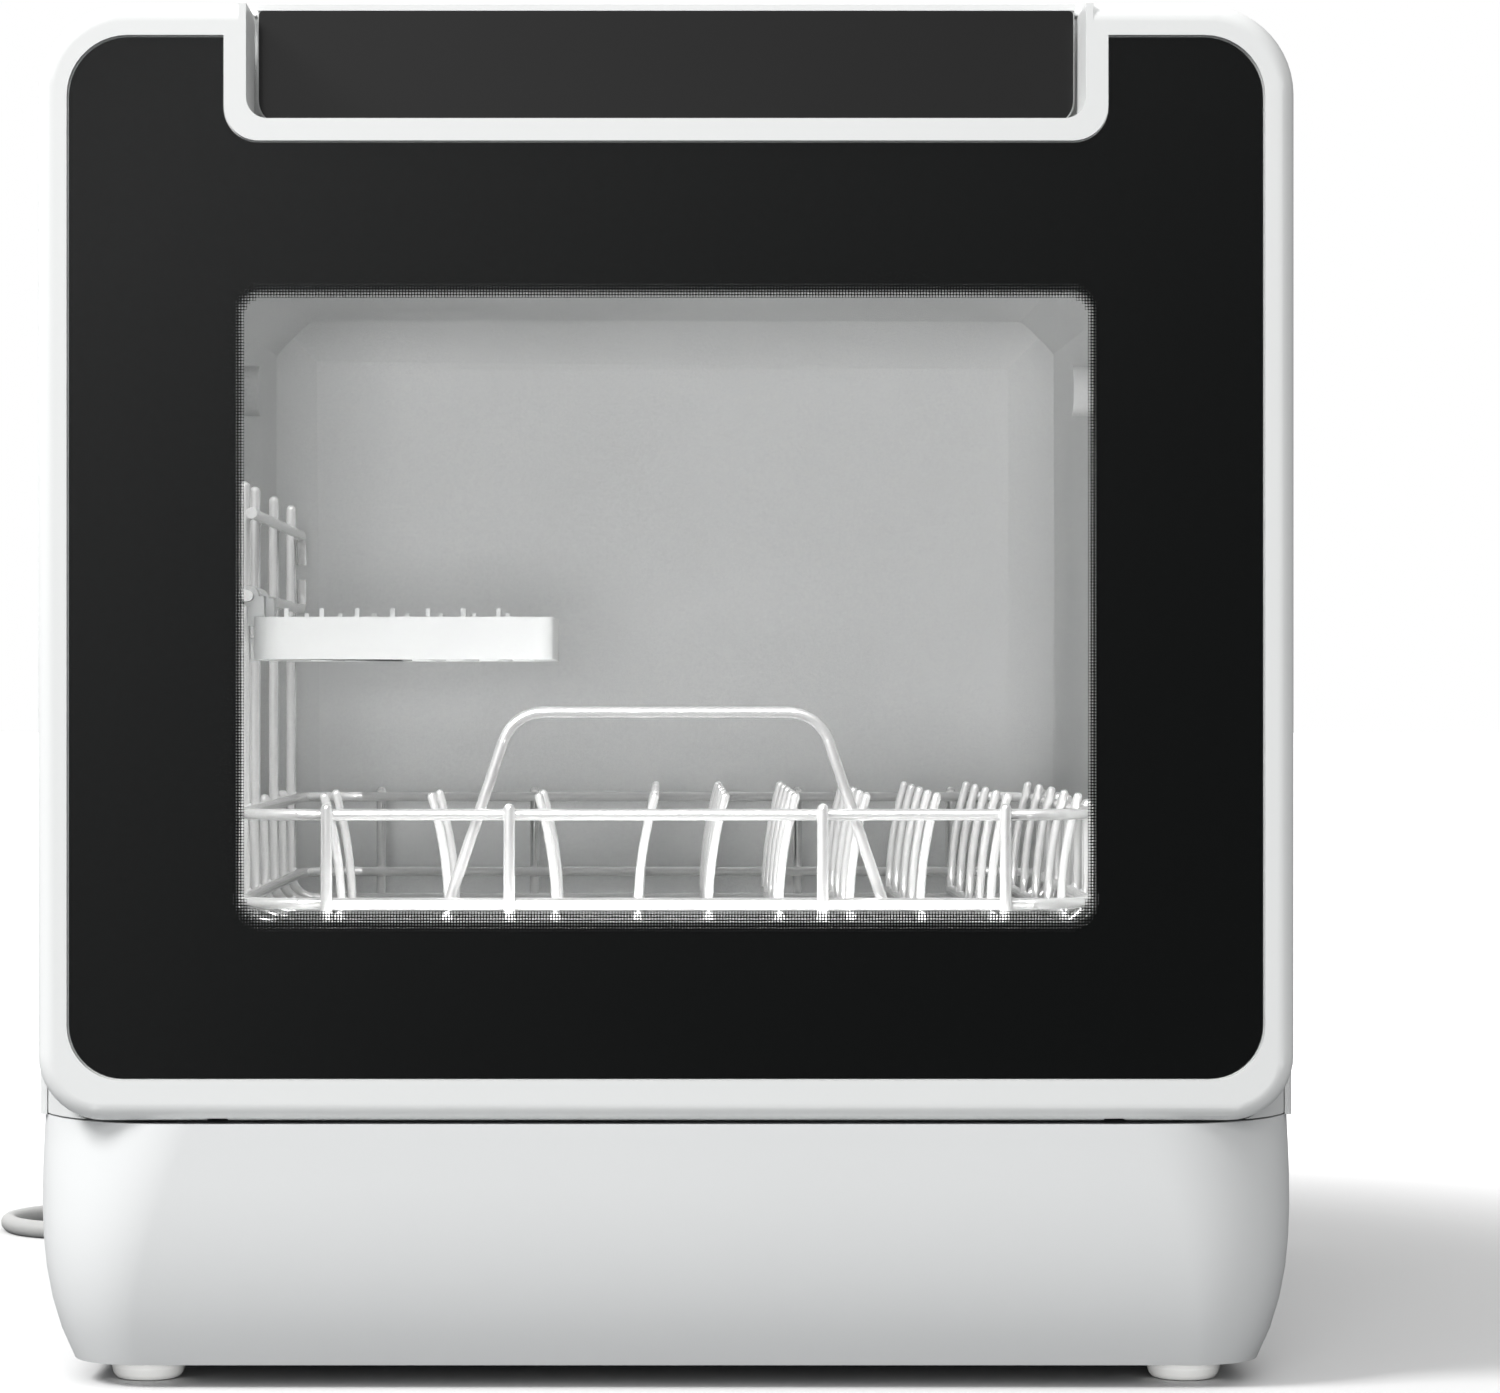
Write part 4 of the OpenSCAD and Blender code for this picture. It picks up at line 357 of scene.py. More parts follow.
class Bench:
    """The bench where pieces are modelled, one at a time."""

    MERGE_WITHIN = 2e-6
    FLAT_ANGLE = math.radians(0.6)

    @staticmethod
    def clear() -> None:
        """Leaves edit mode and deselects everything."""
        if bpy.context.object is not None and bpy.context.object.mode != "OBJECT":
            bpy.ops.object.mode_set(mode="OBJECT")
        bpy.ops.object.select_all(action="DESELECT")

    @classmethod
    def take(cls, piece: bpy.types.Object) -> None:
        """Puts one piece on the bench: it alone is selected and active."""
        cls.clear()
        piece.select_set(True)
        bpy.context.view_layer.objects.active = piece

    @classmethod
    def settle(cls, piece: bpy.types.Object) -> bpy.types.Object:
        """Puts the piece's place, turn and scale into its mesh."""
        cls.take(piece)
        bpy.ops.object.transform_apply(location=True, rotation=True, scale=True)
        return piece

    @classmethod
    def modifier(cls, piece: bpy.types.Object, kind: str, **values: object) -> None:
        """Adds a modifier and applies it at once.

        Args:
            piece: the object that it changes.
            kind: the modifier's type.
            values: its settings.
        """
        cls.take(piece)
        added = piece.modifiers.new(kind.lower(), kind)
        for label, value in values.items():
            setattr(added, label, value)
        bpy.ops.object.modifier_apply(modifier=added.name)

    @classmethod
    def round_edges(
        cls, piece: bpy.types.Object, width: float, segments: int = 2, angle: float = 40.0
    ) -> None:
        """Rounds the edges that are sharper than an angle.

        Args:
            piece: the object whose edges are rounded.
            width: the rounding in millimetres.
            segments: the faces over the rounding.
            angle: the least angle in degrees.
        """
        cls.modifier(
            piece, "BEVEL", width=width * MM, segments=segments, limit_method="ANGLE",
            angle_limit=math.radians(angle), miter_outer="MITER_ARC", use_clamp_overlap=True,
        )

    @classmethod
    def smooth(cls, piece: bpy.types.Object, angle: float = 32.0) -> None:
        """Shades the piece smooth over its roundings and keeps its large faces flat.

        Args:
            piece: the object to shade.
            angle: edges sharper than this many degrees stay sharp.
        """
        cls.take(piece)
        bpy.ops.object.shade_smooth_by_angle(angle=math.radians(angle))
        cls.modifier(piece, "WEIGHTED_NORMAL", mode="FACE_AREA", weight=100, keep_sharp=True)

    @classmethod
    def pick(cls, piece: bpy.types.Object, kind: str, test: Callable[[object], bool]) -> int:
        """Selects, in edit mode, the verts, edges or faces that pass a test, and nothing else.

        Args:
            piece: the object on the bench.
            kind: verts, edges or faces.
            test: what is asked of each of them.

        Returns:
            How many were selected.
        """
        if piece.mode != "EDIT":
            cls.take(piece)
            bpy.ops.object.mode_set(mode="EDIT")
        bpy.ops.mesh.select_mode(type={"verts": "VERT", "edges": "EDGE", "faces": "FACE"}[kind])
        bpy.ops.mesh.select_all(action="DESELECT")
        mesh = bmesh.from_edit_mesh(piece.data)
        chosen = [item for item in getattr(mesh, kind) if test(item)]
        for item in chosen:
            item.select_set(True)
        bmesh.update_edit_mesh(piece.data)
        return len(chosen)

    @classmethod
    def copy_node(cls, name: str, node: bpy.types.Object) -> bpy.types.Object:
        """Copies a CAD node and joins its loose triangles into clean faces.

        Args:
            name: the new piece's name.
            node: the CAD node's object.

        Returns:
            The new object.
        """
        piece = bpy.data.objects.new(name, node.data.copy())
        bpy.context.scene.collection.objects.link(piece)
        cls.take(piece)
        bpy.ops.object.mode_set(mode="EDIT")
        bpy.ops.mesh.select_all(action="SELECT")
        bpy.ops.mesh.remove_doubles(threshold=cls.MERGE_WITHIN)
        bpy.ops.mesh.dissolve_limited(angle_limit=cls.FLAT_ANGLE)
        bpy.ops.object.mode_set(mode="OBJECT")
        return piece

    @classmethod
    def join(cls, pieces: list[bpy.types.Object], name: str) -> bpy.types.Object:
        """Joins pieces into one mesh at the frame's origin.

        Args:
            pieces: the objects, the first of which takes in the others.
            name: the joined piece's name.

        Returns:
            The joined object.
        """
        cls.take(pieces[0])
        for piece in pieces:
            piece.select_set(True)
        bpy.ops.object.join()
        joined = cls.settle(bpy.context.object)
        joined.name = name
        return joined


class Workshop:
    """What every sub-assembly needs: the frame, the materials and the rules for a finished piece."""

    def __init__(self, frame: dict, wardrobe: Wardrobe) -> None:
        """Reads the nodes, their slots and their bodies from the frame."""
        self.nodes: dict[str, bpy.types.Object] = frame["nodes"]
        self.wardrobe = wardrobe
        self.slot_of = {s["node"]: s["material_slot"] for s in frame["record"]["subparts"]}
        bodies = frame["record"]["behaviour"]["bodies"]
        self.body_of = {node: body for body, nodes in bodies.items() for node in nodes}
        self.done: set[str] = set()

    def finish(
        self, piece: bpy.types.Object, body: str, slot: str, *replaced: str, angle: float = 32.0
    ) -> bpy.types.Object:
        """Shades, dresses and mounts a finished piece.

        Args:
            piece: the finished object.
            body: the CAD body that it rides on.
            slot: the material slot that it takes.
            replaced: the CAD nodes that it stands for.
            angle: the smoothing angle in degrees.

        Returns:
            The same object.
        """
        Bench.smooth(piece, angle)
        self.wardrobe.dress(piece, slot)
        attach(piece, body)
        if replaced:
            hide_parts(*replaced)
            self.done.update(replaced)
        LOG.info("%s: %d faces on %s", piece.name, len(piece.data.polygons), body)
        return piece

    def dressed(self, node: str, width: float = 0.0) -> bpy.types.Object:
        """Makes a clean copy of a CAD node with rounded edges, which stands for it.

        Args:
            node: the CAD node's name.
            width: the rounding of its edges in millimetres, or 0 for none.

        Returns:
            The new object.
        """
        piece = Bench.copy_node(f"{node}_form", self.nodes[node])
        if width:
            Bench.round_edges(piece, width)
        return self.finish(piece, self.body_of[node], self.slot_of[node], node)


@dataclass
class Assembly:
    """A sub-assembly, which takes its nodes and its materials from the workshop."""

    shop: Workshop

    def build(self) -> None:
        """Makes the sub-assembly's pieces."""
        raise NotImplementedError


# ------------------------------------------------------------------ studio


@dataclass
class Studio:
    """The pale floor, the soft lamps, the world and the camera."""

    distance: float = 1.5
    height: float = 0.2316
    focal_px: float = 4500.0
    sensor: float = 36.0
    image: tuple[int, int] = (1500, 1393)
    centre_px: tuple[float, float] = (666.0, 700.0)
    floor_size: tuple[float, float] = (24.0, 30.0)
    floor_before: float = 0.6
    floor_roughness: float = 0.9
    floor_specular: float = 0.1
    floor_shade: tuple[float, float, float] = (0.9, 0.9, 0.9)
    floor_bounce: tuple[float, float, float] = (0.26, 0.265, 0.27)
    fade_from: float = 0.36
    fade_to: float = 0.84
    levels: tuple[tuple[float, float], ...] = ((0.38, 0.08), (0.62, 0.12), (1.0, 1.0))
    mirror_slant: tuple[float, float, float] = (-3.0, 0.0, 3.0)
    mirror_range: tuple[float, float] = (-0.6, 0.7)
    mirror_curve: float = 2.0
    mirror_rise: float = 0.71
    mirror_least: float = 0.12
    gloss: float = 2.2
    lit_shaded: tuple[str, ...] = (
        "tub", "spray_hub", "spray_arm", "sump", "filter_plate", "filter_cup", "float_dome",
        "basket_back", "basket_floor", "cup_shelf", "feet",
    )
    lit_wires: tuple[str, ...] = (
        "basket_front", "basket_left", "basket_right", "basket_tines", "basket_handle", "side_rack",
    )

    def camera(self) -> None:
        """Sets the camera where the photograph was taken, square on to the door."""
        wide, high = self.image
        data = bpy.data.cameras.new("view")
        data.sensor_width = self.sensor
        data.lens = self.focal_px * self.sensor / wide
        data.shift_x = (wide / 2 - self.centre_px[0]) / wide
        data.shift_y = (self.centre_px[1] - high / 2) / wide
        camera = bpy.data.objects.new("view", data)
        bpy.context.scene.collection.objects.link(camera)
        camera.location = (0.0, PLACE.front_y * MM - self.distance, self.height)
        camera.rotation_euler = (math.radians(90), 0.0, 0.0)
        bpy.context.scene.camera = camera

    def floor(self) -> None:
        """Lays the pale floor: it keeps the shadows near the machine and fades to white far off."""
        Bench.clear()
        wide, deep = self.floor_size
        middle = (deep - self.floor_before) / 2
        bpy.ops.mesh.primitive_plane_add(size=1.0, location=(0.0, middle, 0.0))
        floor = bpy.context.object
        floor.name = "floor"
        floor.scale = (wide, deep + self.floor_before, 1.0)
        Bench.settle(floor)
        made = bpy.data.materials.new("pale_floor")
        made.use_nodes = True
        wiring = Wiring(made.node_tree)
        camera_ray = wiring.add("LightPath").outputs["Is Camera Ray"]
        tones = {"A": (*self.floor_bounce, 1), "B": (*self.floor_shade, 1), "Factor": camera_ray}
        tone = wiring.add("Mix", tones, data_type="RGBA")
        place = wiring.add("TexCoord").outputs["Object"]
        far = wiring.add("VectorMath", {0: place}, operation="LENGTH").outputs["Value"]
        fade = wiring.add(
            "MapRange", {"Value": far, "From Min": self.fade_from, "From Max": self.fade_to},
            interpolation_type="SMOOTHSTEP",
        )
        seen = wiring.math("MULTIPLY", fade.outputs["Result"], camera_ray)
        shader = made.node_tree.nodes["Principled BSDF"]
        for label, value in (
            ("Roughness", self.floor_roughness), ("Specular IOR Level", self.floor_specular),
            ("Base Color", tone.outputs["Result"]), ("Emission Color", WHITE),
            ("Emission Strength", seen),
        ):
            wiring.feed(shader.inputs[label], value)
        floor.data.materials.append(made)

    def world(self) -> None:
        """Sets the surround.

        The camera and clear glass see it plain white. It lights most from above and little from the
        sides and below. What is mirrored is dimmer low at the right, so that the dark glass shows a
        soft fall-off.
        """
        world = bpy.data.worlds.new("surround")
        bpy.context.scene.world = world
        world.use_nodes = True
        wiring = Wiring(world.node_tree)
        around = wiring.add("TexCoord").outputs["Generated"]
        slant = wiring.add(
            "VectorMath", {0: around, 1: self.mirror_slant}, operation="DOT_PRODUCT"
        ).outputs["Value"]
        low, high = self.mirror_range
        ramp = wiring.add("MapRange", {"Value": slant, "From Min": low, "From Max": high})
        swell = wiring.math("POWER", ramp.outputs["Result"], self.mirror_curve)
        rise, least = self.mirror_rise * self.gloss, self.mirror_least * self.gloss
        glow = wiring.math("MULTIPLY_ADD", swell, rise, least)
        upward = wiring.add("SeparateXYZ", {"Vector": around}).outputs["Z"]
        above = wiring.add("MapRange", {"Value": upward, "From Min": -1.0}).outputs["Result"]
        dusk = wiring.add("ValToRGB", {"Fac": above})
        stops = dusk.color_ramp.elements
        stops.new(self.levels[1][0])
        for stop, (position, level) in zip(stops, self.levels):
            stop.position = position
            stop.color = (level, level, level, 1.0)
        lighting = world.node_tree.nodes["Background"]
        wiring.feed(lighting.inputs["Color"], WHITE)
        wiring.feed(lighting.inputs["Strength"], dusk.outputs["Color"])
        mirrored = wiring.add("Background", {"Strength": glow})
        seen = wiring.add("Background", {"Color": WHITE, "Strength": 1.0})
        path = wiring.add("LightPath").outputs
        plain = wiring.math("MAXIMUM", path["Is Camera Ray"], path["Is Transmission Ray"])
        mix = lighting.outputs["Background"]
        for share, other in ((path["Is Glossy Ray"], mirrored), (plain, seen)):
            layers = {"Fac": share, 1: mix, 2: other.outputs["Background"]}
            mix = wiring.add("MixShader", layers).outputs["Shader"]
        wiring.feed(world.node_tree.nodes["World Output"].inputs["Surface"], mix)

    @staticmethod
    def lamp(
        name: str, place: Vector, aim: Vector, height: float, watts: float,
        width: float = 0.0, mirrored: bool = True,
    ) -> None:
        """Hangs one area lamp.

        Args:
            name: the lamp's name.
            place: where it hangs, in metres.
            aim: the point that it faces.
            height: its height in metres.
            watts: its power.
            width: its width in metres, or 0 for a square one.
            mirrored: whether glass and metal mirror it.
        """
        data = bpy.data.lights.new(name, "AREA")
        data.shape = "RECTANGLE"
        data.size = width or height
        data.size_y = height
        data.energy = watts
        lamp = bpy.data.objects.new(name, data)
        bpy.context.scene.collection.objects.link(lamp)
        lamp.location = place
        lamp.rotation_euler = (aim - place).to_track_quat("-Z", "Y").to_euler()
        lamp.visible_glossy = mirrored

    @staticmethod
    def keep_to(lamp: bpy.types.Object, lit: list[bpy.types.Object], shades: bool) -> None:
        """Keeps a lamp to some pieces.

        Args:
            lamp: the lamp.
            lit: the pieces that it lights.
            shades: whether everything shades them, or only these pieces themselves.
        """
        group = bpy.data.collections.new(f"{lamp.name}_pieces")
        for piece in lit:
            group.objects.link(piece)
        lamp.light_linking.receiver_collection = group
        if not shades:
            lamp.light_linking.blocker_collection = group

    def light_inside(self) -> None:
        """Keeps two lamps to the pieces behind the window and the feet, once these are made."""
        made = bpy.data.objects
        wires = [made[f"{node}_form"] for node in self.lit_wires] + [made["basket_welds"]]
        shaded = [made[f"{node}_form"] for node in self.lit_shaded]
        self.keep_to(made["wire_light"], wires, shades=False)
        self.keep_to(made["window_light"], wires + shaded, shades=True)
        LOG.info("%d pieces take the window's light", len(wires + shaded))

    def build(self) -> None:
        """Sets up the whole studio."""
        bpy.context.scene.view_settings.view_transform = "Standard"
        self.camera()
        self.floor()
        self.world()
        at = PLACE.at
        body = Vector((0.0, 0.0, 0.2))
        front = Vector((0.0, 0.0, 0.25))
        self.lamp("key", Vector((-1.8, -1.2, 2.05)), body, 0.9, 62.0)
        self.lamp("front_top", Vector((0.1, -2.1, 0.8)), front, 1.2, 15.0, mirrored=False)
        self.lamp("tub_top", at(0, 55, 384), at(0, 240, 200), 0.02, 0.08, 0.24, mirrored=False)
        self.lamp("tub_low", at(0, 44, 140), at(0, 330, 380), 0.02, 0.45, 0.24, mirrored=False)
        window_side = Vector((-0.12, -2.1, 0.2))
        self.lamp("window_light", window_side, at(0, 380, 270), 0.36, 48.0, mirrored=False)
        self.lamp("wire_light", Vector((-0.3, -1.3, 1.2)), at(-20, 80, 210), 0.9, 56.0)
        LOG.info("studio is set")


# ------------------------------------------------------------------ mains lead


@dataclass
class MainsLead(Assembly):
    """The lead: its free stretch, its coil, the tie and the plug."""

    diameter: float = 7.4
    loops: int = 2
    steps: int = 36
    coil_diameter: float = 82.0
    gap: float = 0.5
    tie: float = 1.2
    tail: float = 44.0
    tail_steps: int = 4
    back: float = 207.0
    start: tuple[float, float] = (5.0, 6.0)
    route: tuple[tuple[float, float, float], ...] = (
        (-170, 26, 102.3), (-170, 34, 102.3), (-170, 49, 98), (-170, 60, 87), (-170, 65, 72),
        (-170, 68, 56), (-170, 71, 38), (-175, 74, 19), (-189, 76, 5), (-208, 78, 0),
        (-228, 78, 0), (-249, 78, 0), (-264, 75, 0), (-276, 67, 0), (-284, 54, 0),
        (-287, 40, 0), (-284, 26, 0), (-276, 13, 0), (-264, 5, 0), (-249, 2, 0),
        (-228, 2, 0), (-206, 2, 0), (-184, 3, 0), (-162, 3, 0), (-140, 4, 0),
        (-118, 4, 0), (-96, 5, 0), (-74, 5, 0), (-52, 6, 0), (-30, 6, 0.6),
        (-12, 6, 1.2),
    )

    def free_points(self) -> list[Vector]:
        """Gives the free stretch, from the gland to the coil."""
        lift = self.diameter / 2
        return [Vector((x, self.back + y, lift + z)) * MM for x, y, z in self.route]

    def coil_points(self) -> list[Vector]:
        """Gives the coil: it spirals in, climbs a layer, spirals out and ends in a straight tail."""
        pitch = self.diameter + self.gap
        radius = self.coil_diameter / 2 + pitch * self.loops / 2
        middle = self.loops + 0.25
        start_x, start_y = self.start
        centre = Vector((start_x + self.diameter, self.back + start_y + radius, 0.0))

        def loop(u: float) -> Vector:
            """Gives the point after u loops."""
            r = radius - pitch * (middle - abs(u - middle))
            climb = 1 - math.cos(2 * math.pi * min(max(u - self.loops, 0.0), 0.5))
            z = self.diameter / 2 + self.tie + pitch * climb / 2
            turn = 2 * math.pi * u
            return (centre + Vector((r * math.sin(turn), -r * math.cos(turn), z))) * MM

        wound = [loop(i / self.steps) for i in range(int(2 * middle * self.steps) + 1)]
        step = Vector((-self.tail / self.tail_steps, 0.0, 0.0)) * MM
        return wound + [wound[-1] + step * k for k in range(1, self.tail_steps + 1)]

    def swept(self, name: str, points: list[Vector]) -> bpy.types.Object:
        """Makes a curve through points and gives it the lead's thickness.

        Args:
            name: the piece's name.
            points: the centre line.

        Returns:
            The curve's object.
        """
        data = bpy.data.curves.new(name, "CURVE")
        data.dimensions = "3D"
        data.resolution_u = 4
        data.bevel_depth = self.diameter / 2 * MM
        data.bevel_resolution = 4
        data.use_fill_caps = True
        spline = data.splines.new("BEZIER")
        spline.bezier_points.add(len(points) - 1)
        for knot, point in zip(spline.bezier_points, points):
            knot.co = point
            knot.handle_left_type = "AUTO"
            knot.handle_right_type = "AUTO"
        piece = bpy.data.objects.new(name, data)
        bpy.context.scene.collection.objects.link(piece)
        return piece

    def build(self) -> None:
        """Makes the lead and what is on it."""
        free = self.free_points()
        path = free + self.coil_points()
        lead = self.swept("mains_lead", path)
        self.shop.wardrobe.dress(lead, "cord_plastic")
        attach(lead, "cabinet")
        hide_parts("cord_tube", "cord_coil")
        self.shop.done.update(("cord_tube", "cord_coil"))
        gland = self.shop.dressed("cord_gland", 0.6)
        tie = self.shop.dressed("coil_tie", 0.3)
        plug = self.shop.dressed("power_plug", 0.8)


# ------------------------------------------------------------------ the machine


@dataclass
class DoorPanel(Assembly):
    """The door's glass: the pane, the black print with its dotted edge, and the inner pane."""

    window_w: float = 282.0
    window_low: float = 161.0
    window_high: float = 366.0
    corner: float = 6.0
    print_depth: float = 3.3
    rounding: float = 0.4
    cell: float = 1.0
    cells_wide: int = 292
    rows_below: int = 8
    rows_above: int = 6
    fringe_side: float = 3.4
    fringe_top: float = 5.2
    fringe_low: float = 7.2
    levels: tuple[float, ...] = (0.84, 0.72, 0.6, 0.48, 0.34)
    corner_cut: float = 0.29
    whole: float = 0.9
    facing: float = 0.9

    def _box(self) -> tuple[float, float, float]:
        """Gives the dotted field's half width, its foot and its head, in millimetres."""
        low = self.window_low - self.rows_below * self.cell
        high = self.window_high + self.rows_above * self.cell
        return self.cells_wide * self.cell / 2, low, high

    def _beyond(self, x: float, z: float) -> float:
        """Says how far a point lies from the window, as a part of the dotted edge's width.

        Args:
            x: distance from the middle in millimetres.
            z: height in millimetres.

        Returns:
            Below 0 inside the window, 1 at the dotted edge's outer line.
        """
        side = abs(x) - (self.window_w / 2 - self.corner)
        middle = (self.window_low + self.window_high) / 2
        up = abs(z - middle) - ((self.window_high - self.window_low) / 2 - self.corner)
        if side <= 0 and up <= 0:
            return -1.0
        away = math.hypot(max(side, 0.0), max(up, 0.0)) - self.corner
        wide = self.fringe_top if z > middle else self.fringe_low
        share = math.atan2(max(up, 0.0), max(side, 0.0)) / (math.pi / 2)
        return away / (self.fringe_side + (wide - self.fringe_side) * share)

    def _dots(self) -> bpy.types.Object:
        """Makes the print round the window: a fine screen of holes that grow towards the window."""
        half, low, high = self._box()
        bpy.ops.mesh.primitive_grid_add(
            x_subdivisions=self.cells_wide, y_subdivisions=round((high - low) / self.cell), size=1.0,
            location=PLACE.at(0, self.print_depth, (low + high) / 2), rotation=(math.radians(90), 0, 0),
        )
        screen = bpy.context.object
        screen.name = "door_print_dots"
        screen.scale = (2 * half * MM, (high - low) * MM, 1.0)
        Bench.settle(screen)

        def beyond(face: object) -> float:
            """Measures a face's middle against the window."""
            centre = face.calc_center_median() / MM
            return self._beyond(centre.x, centre.z)

        Bench.pick(screen, "faces", lambda face: beyond(face) < 0)
        bpy.ops.mesh.delete(type="FACE")
        cell = self.cell * MM
        steps = len(self.levels)
        for level, open_part in enumerate(self.levels):
            found = Bench.pick(
                screen, "faces",
                lambda face, k=level: face.calc_area() > self.whole * cell**2
                and k <= beyond(face) * steps < k + 1,
            )
            if not found:
                continue
            bpy.ops.mesh.inset(
                thickness=cell * (1 - open_part) / 2, use_individual=True, use_even_offset=True
            )
            bpy.ops.mesh.bevel(offset=self.corner_cut * open_part * cell, affect="VERTICES", segments=1)
            bpy.ops.mesh.select_mode(type="FACE")
            least = (open_part * cell / 2) ** 2
            mesh = bmesh.from_edit_mesh(screen.data)
            for face in mesh.faces:
                face.select_set(face.select and len(face.verts) == 8 and face.calc_area() > least)
            bmesh.update_edit_mesh(screen.data)
            bpy.ops.mesh.delete(type="FACE")
        bpy.ops.object.mode_set(mode="OBJECT")
        return screen

    def _print(self) -> bpy.types.Object:
        """Makes the print's plain part from the back of the pane, with a hole for the dots."""
        layer = Bench.copy_node("door_print", self.shop.nodes["door_glass"])
        Bench.pick(layer, "faces", lambda face: face.normal.y < self.facing)
        bpy.ops.mesh.delete(type="FACE")
        back = max(v.co.y for v in bmesh.from_edit_mesh(layer.data).verts)
        bpy.ops.mesh.select_all(action="SELECT")
        shift = PLACE.at(0, self.print_depth, 0).y - back
        bpy.ops.transform.translate(value=(0.0, shift, 0.0))
        half, low, high = self._box()
        for place, normal in (
            (PLACE.at(-half, 0, 0), (1, 0, 0)), (PLACE.at(half, 0, 0), (1, 0, 0)),
            (PLACE.at(0, 0, low), (0, 0, 1)), (PLACE.at(0, 0, high), (0, 0, 1)),
        ):
            bpy.ops.mesh.select_all(action="SELECT")
            bpy.ops.mesh.bisect(plane_co=place, plane_no=normal)

        def inside(face: object) -> bool:
            """Says whether a face's middle lies in the hole."""
            centre = face.calc_center_median() / MM
            return abs(centre.x) < half and low < centre.z < high

        Bench.pick(layer, "faces", inside)
        bpy.ops.mesh.delete(type="FACE")
        bpy.ops.object.mode_set(mode="OBJECT")
        return layer

    def build(self) -> None:
        """Makes the panes and the print."""
        pane = Bench.copy_node("door_pane", self.shop.nodes["door_glass"])
        Bench.round_edges(pane, self.rounding)
        self.shop.finish(pane, "door", "black_glass", "door_glass")
        self.shop.wardrobe.dress(pane, "clear_glass")
        self.shop.finish(self._print(), "door", "black_glass")
        self.shop.finish(self._dots(), "door", "black_glass")
        inner = Bench.copy_node("inner_pane", self.shop.nodes["inner_glass"])
        Bench.round_edges(inner, self.rounding)
        self.shop.finish(inner, "door", "clear_glass", "inner_glass")


@dataclass
class Wirework(Assembly):
    """The wires of the basket and its rack, with the flattened drops of their spot welds."""

    nodes: tuple[str, ...] = (
        "basket_floor", "basket_front", "basket_back", "basket_left", "basket_right", "basket_tines",
        "basket_handle", "side_rack",
    )
    upright_x: tuple[float, ...] = (-117.0, -54.0, 54.0, 117.0)
    rim_heights: tuple[float, ...] = (161.3, 192.0)
    end_depths: tuple[tuple[float, float], ...] = ((50.0, 53.4), (350.0, 346.6))
    side_x: float = 152.0
    side_rim_x: float = 148.6
    side_depths: tuple[float, ...] = tuple(84.0 + 40 * i for i in range(7))
    rack_heights: tuple[float, ...] = (268.6, 298.6)
    rack_depths: tuple[float, ...] = (124.0, 164.0, 244.0, 324.0)
    drop: tuple[float, float] = (2.5, 1.5)
    smooth_angle: float = 60.0

    def _drop(self, place: Vector, across: Axis) -> bpy.types.Object:
        """Models one weld drop.

        Args:
            place: the middle of the crossing.
            across: the axis across which the two wires touch.

        Returns:
            The drop's object.
        """
        long, flat = self.drop
        size = [long, long, long]
        size[across.value] = flat
        bpy.ops.mesh.primitive_uv_sphere_add(segments=12, ring_count=8, radius=MM, location=place)
        made = bpy.context.object
        made.scale = size
        return made

    def _welds(self) -> bpy.types.Object:
        """Makes the drops at every crossing that shows, as one piece."""
        Bench.clear()
        middle = (self.side_x + self.side_rim_x) / 2
        spots = [
            (PLACE.at(x, (outer + rim) / 2, z), Axis.Y)
            for outer, rim in self.end_depths for x in self.upright_x for z in self.rim_heights
        ]
        spots += [
            (PLACE.at(side * middle, depth, z), Axis.X)
            for side in (-1, 1) for depth in self.side_depths for z in self.rim_heights
        ]
        spots += [
            (PLACE.at(-middle, depth, z), Axis.X)
            for depth in self.rack_depths for z in self.rack_heights
        ]
        return Bench.join([self._drop(place, across) for place, across in spots], "basket_welds")

    def build(self) -> None:
        """Makes the wires and the drops."""
        for node in self.nodes:
            self.shop.dressed(node)
        self.shop.finish(self._welds(), "basket", "chrome_wire", angle=self.smooth_angle)


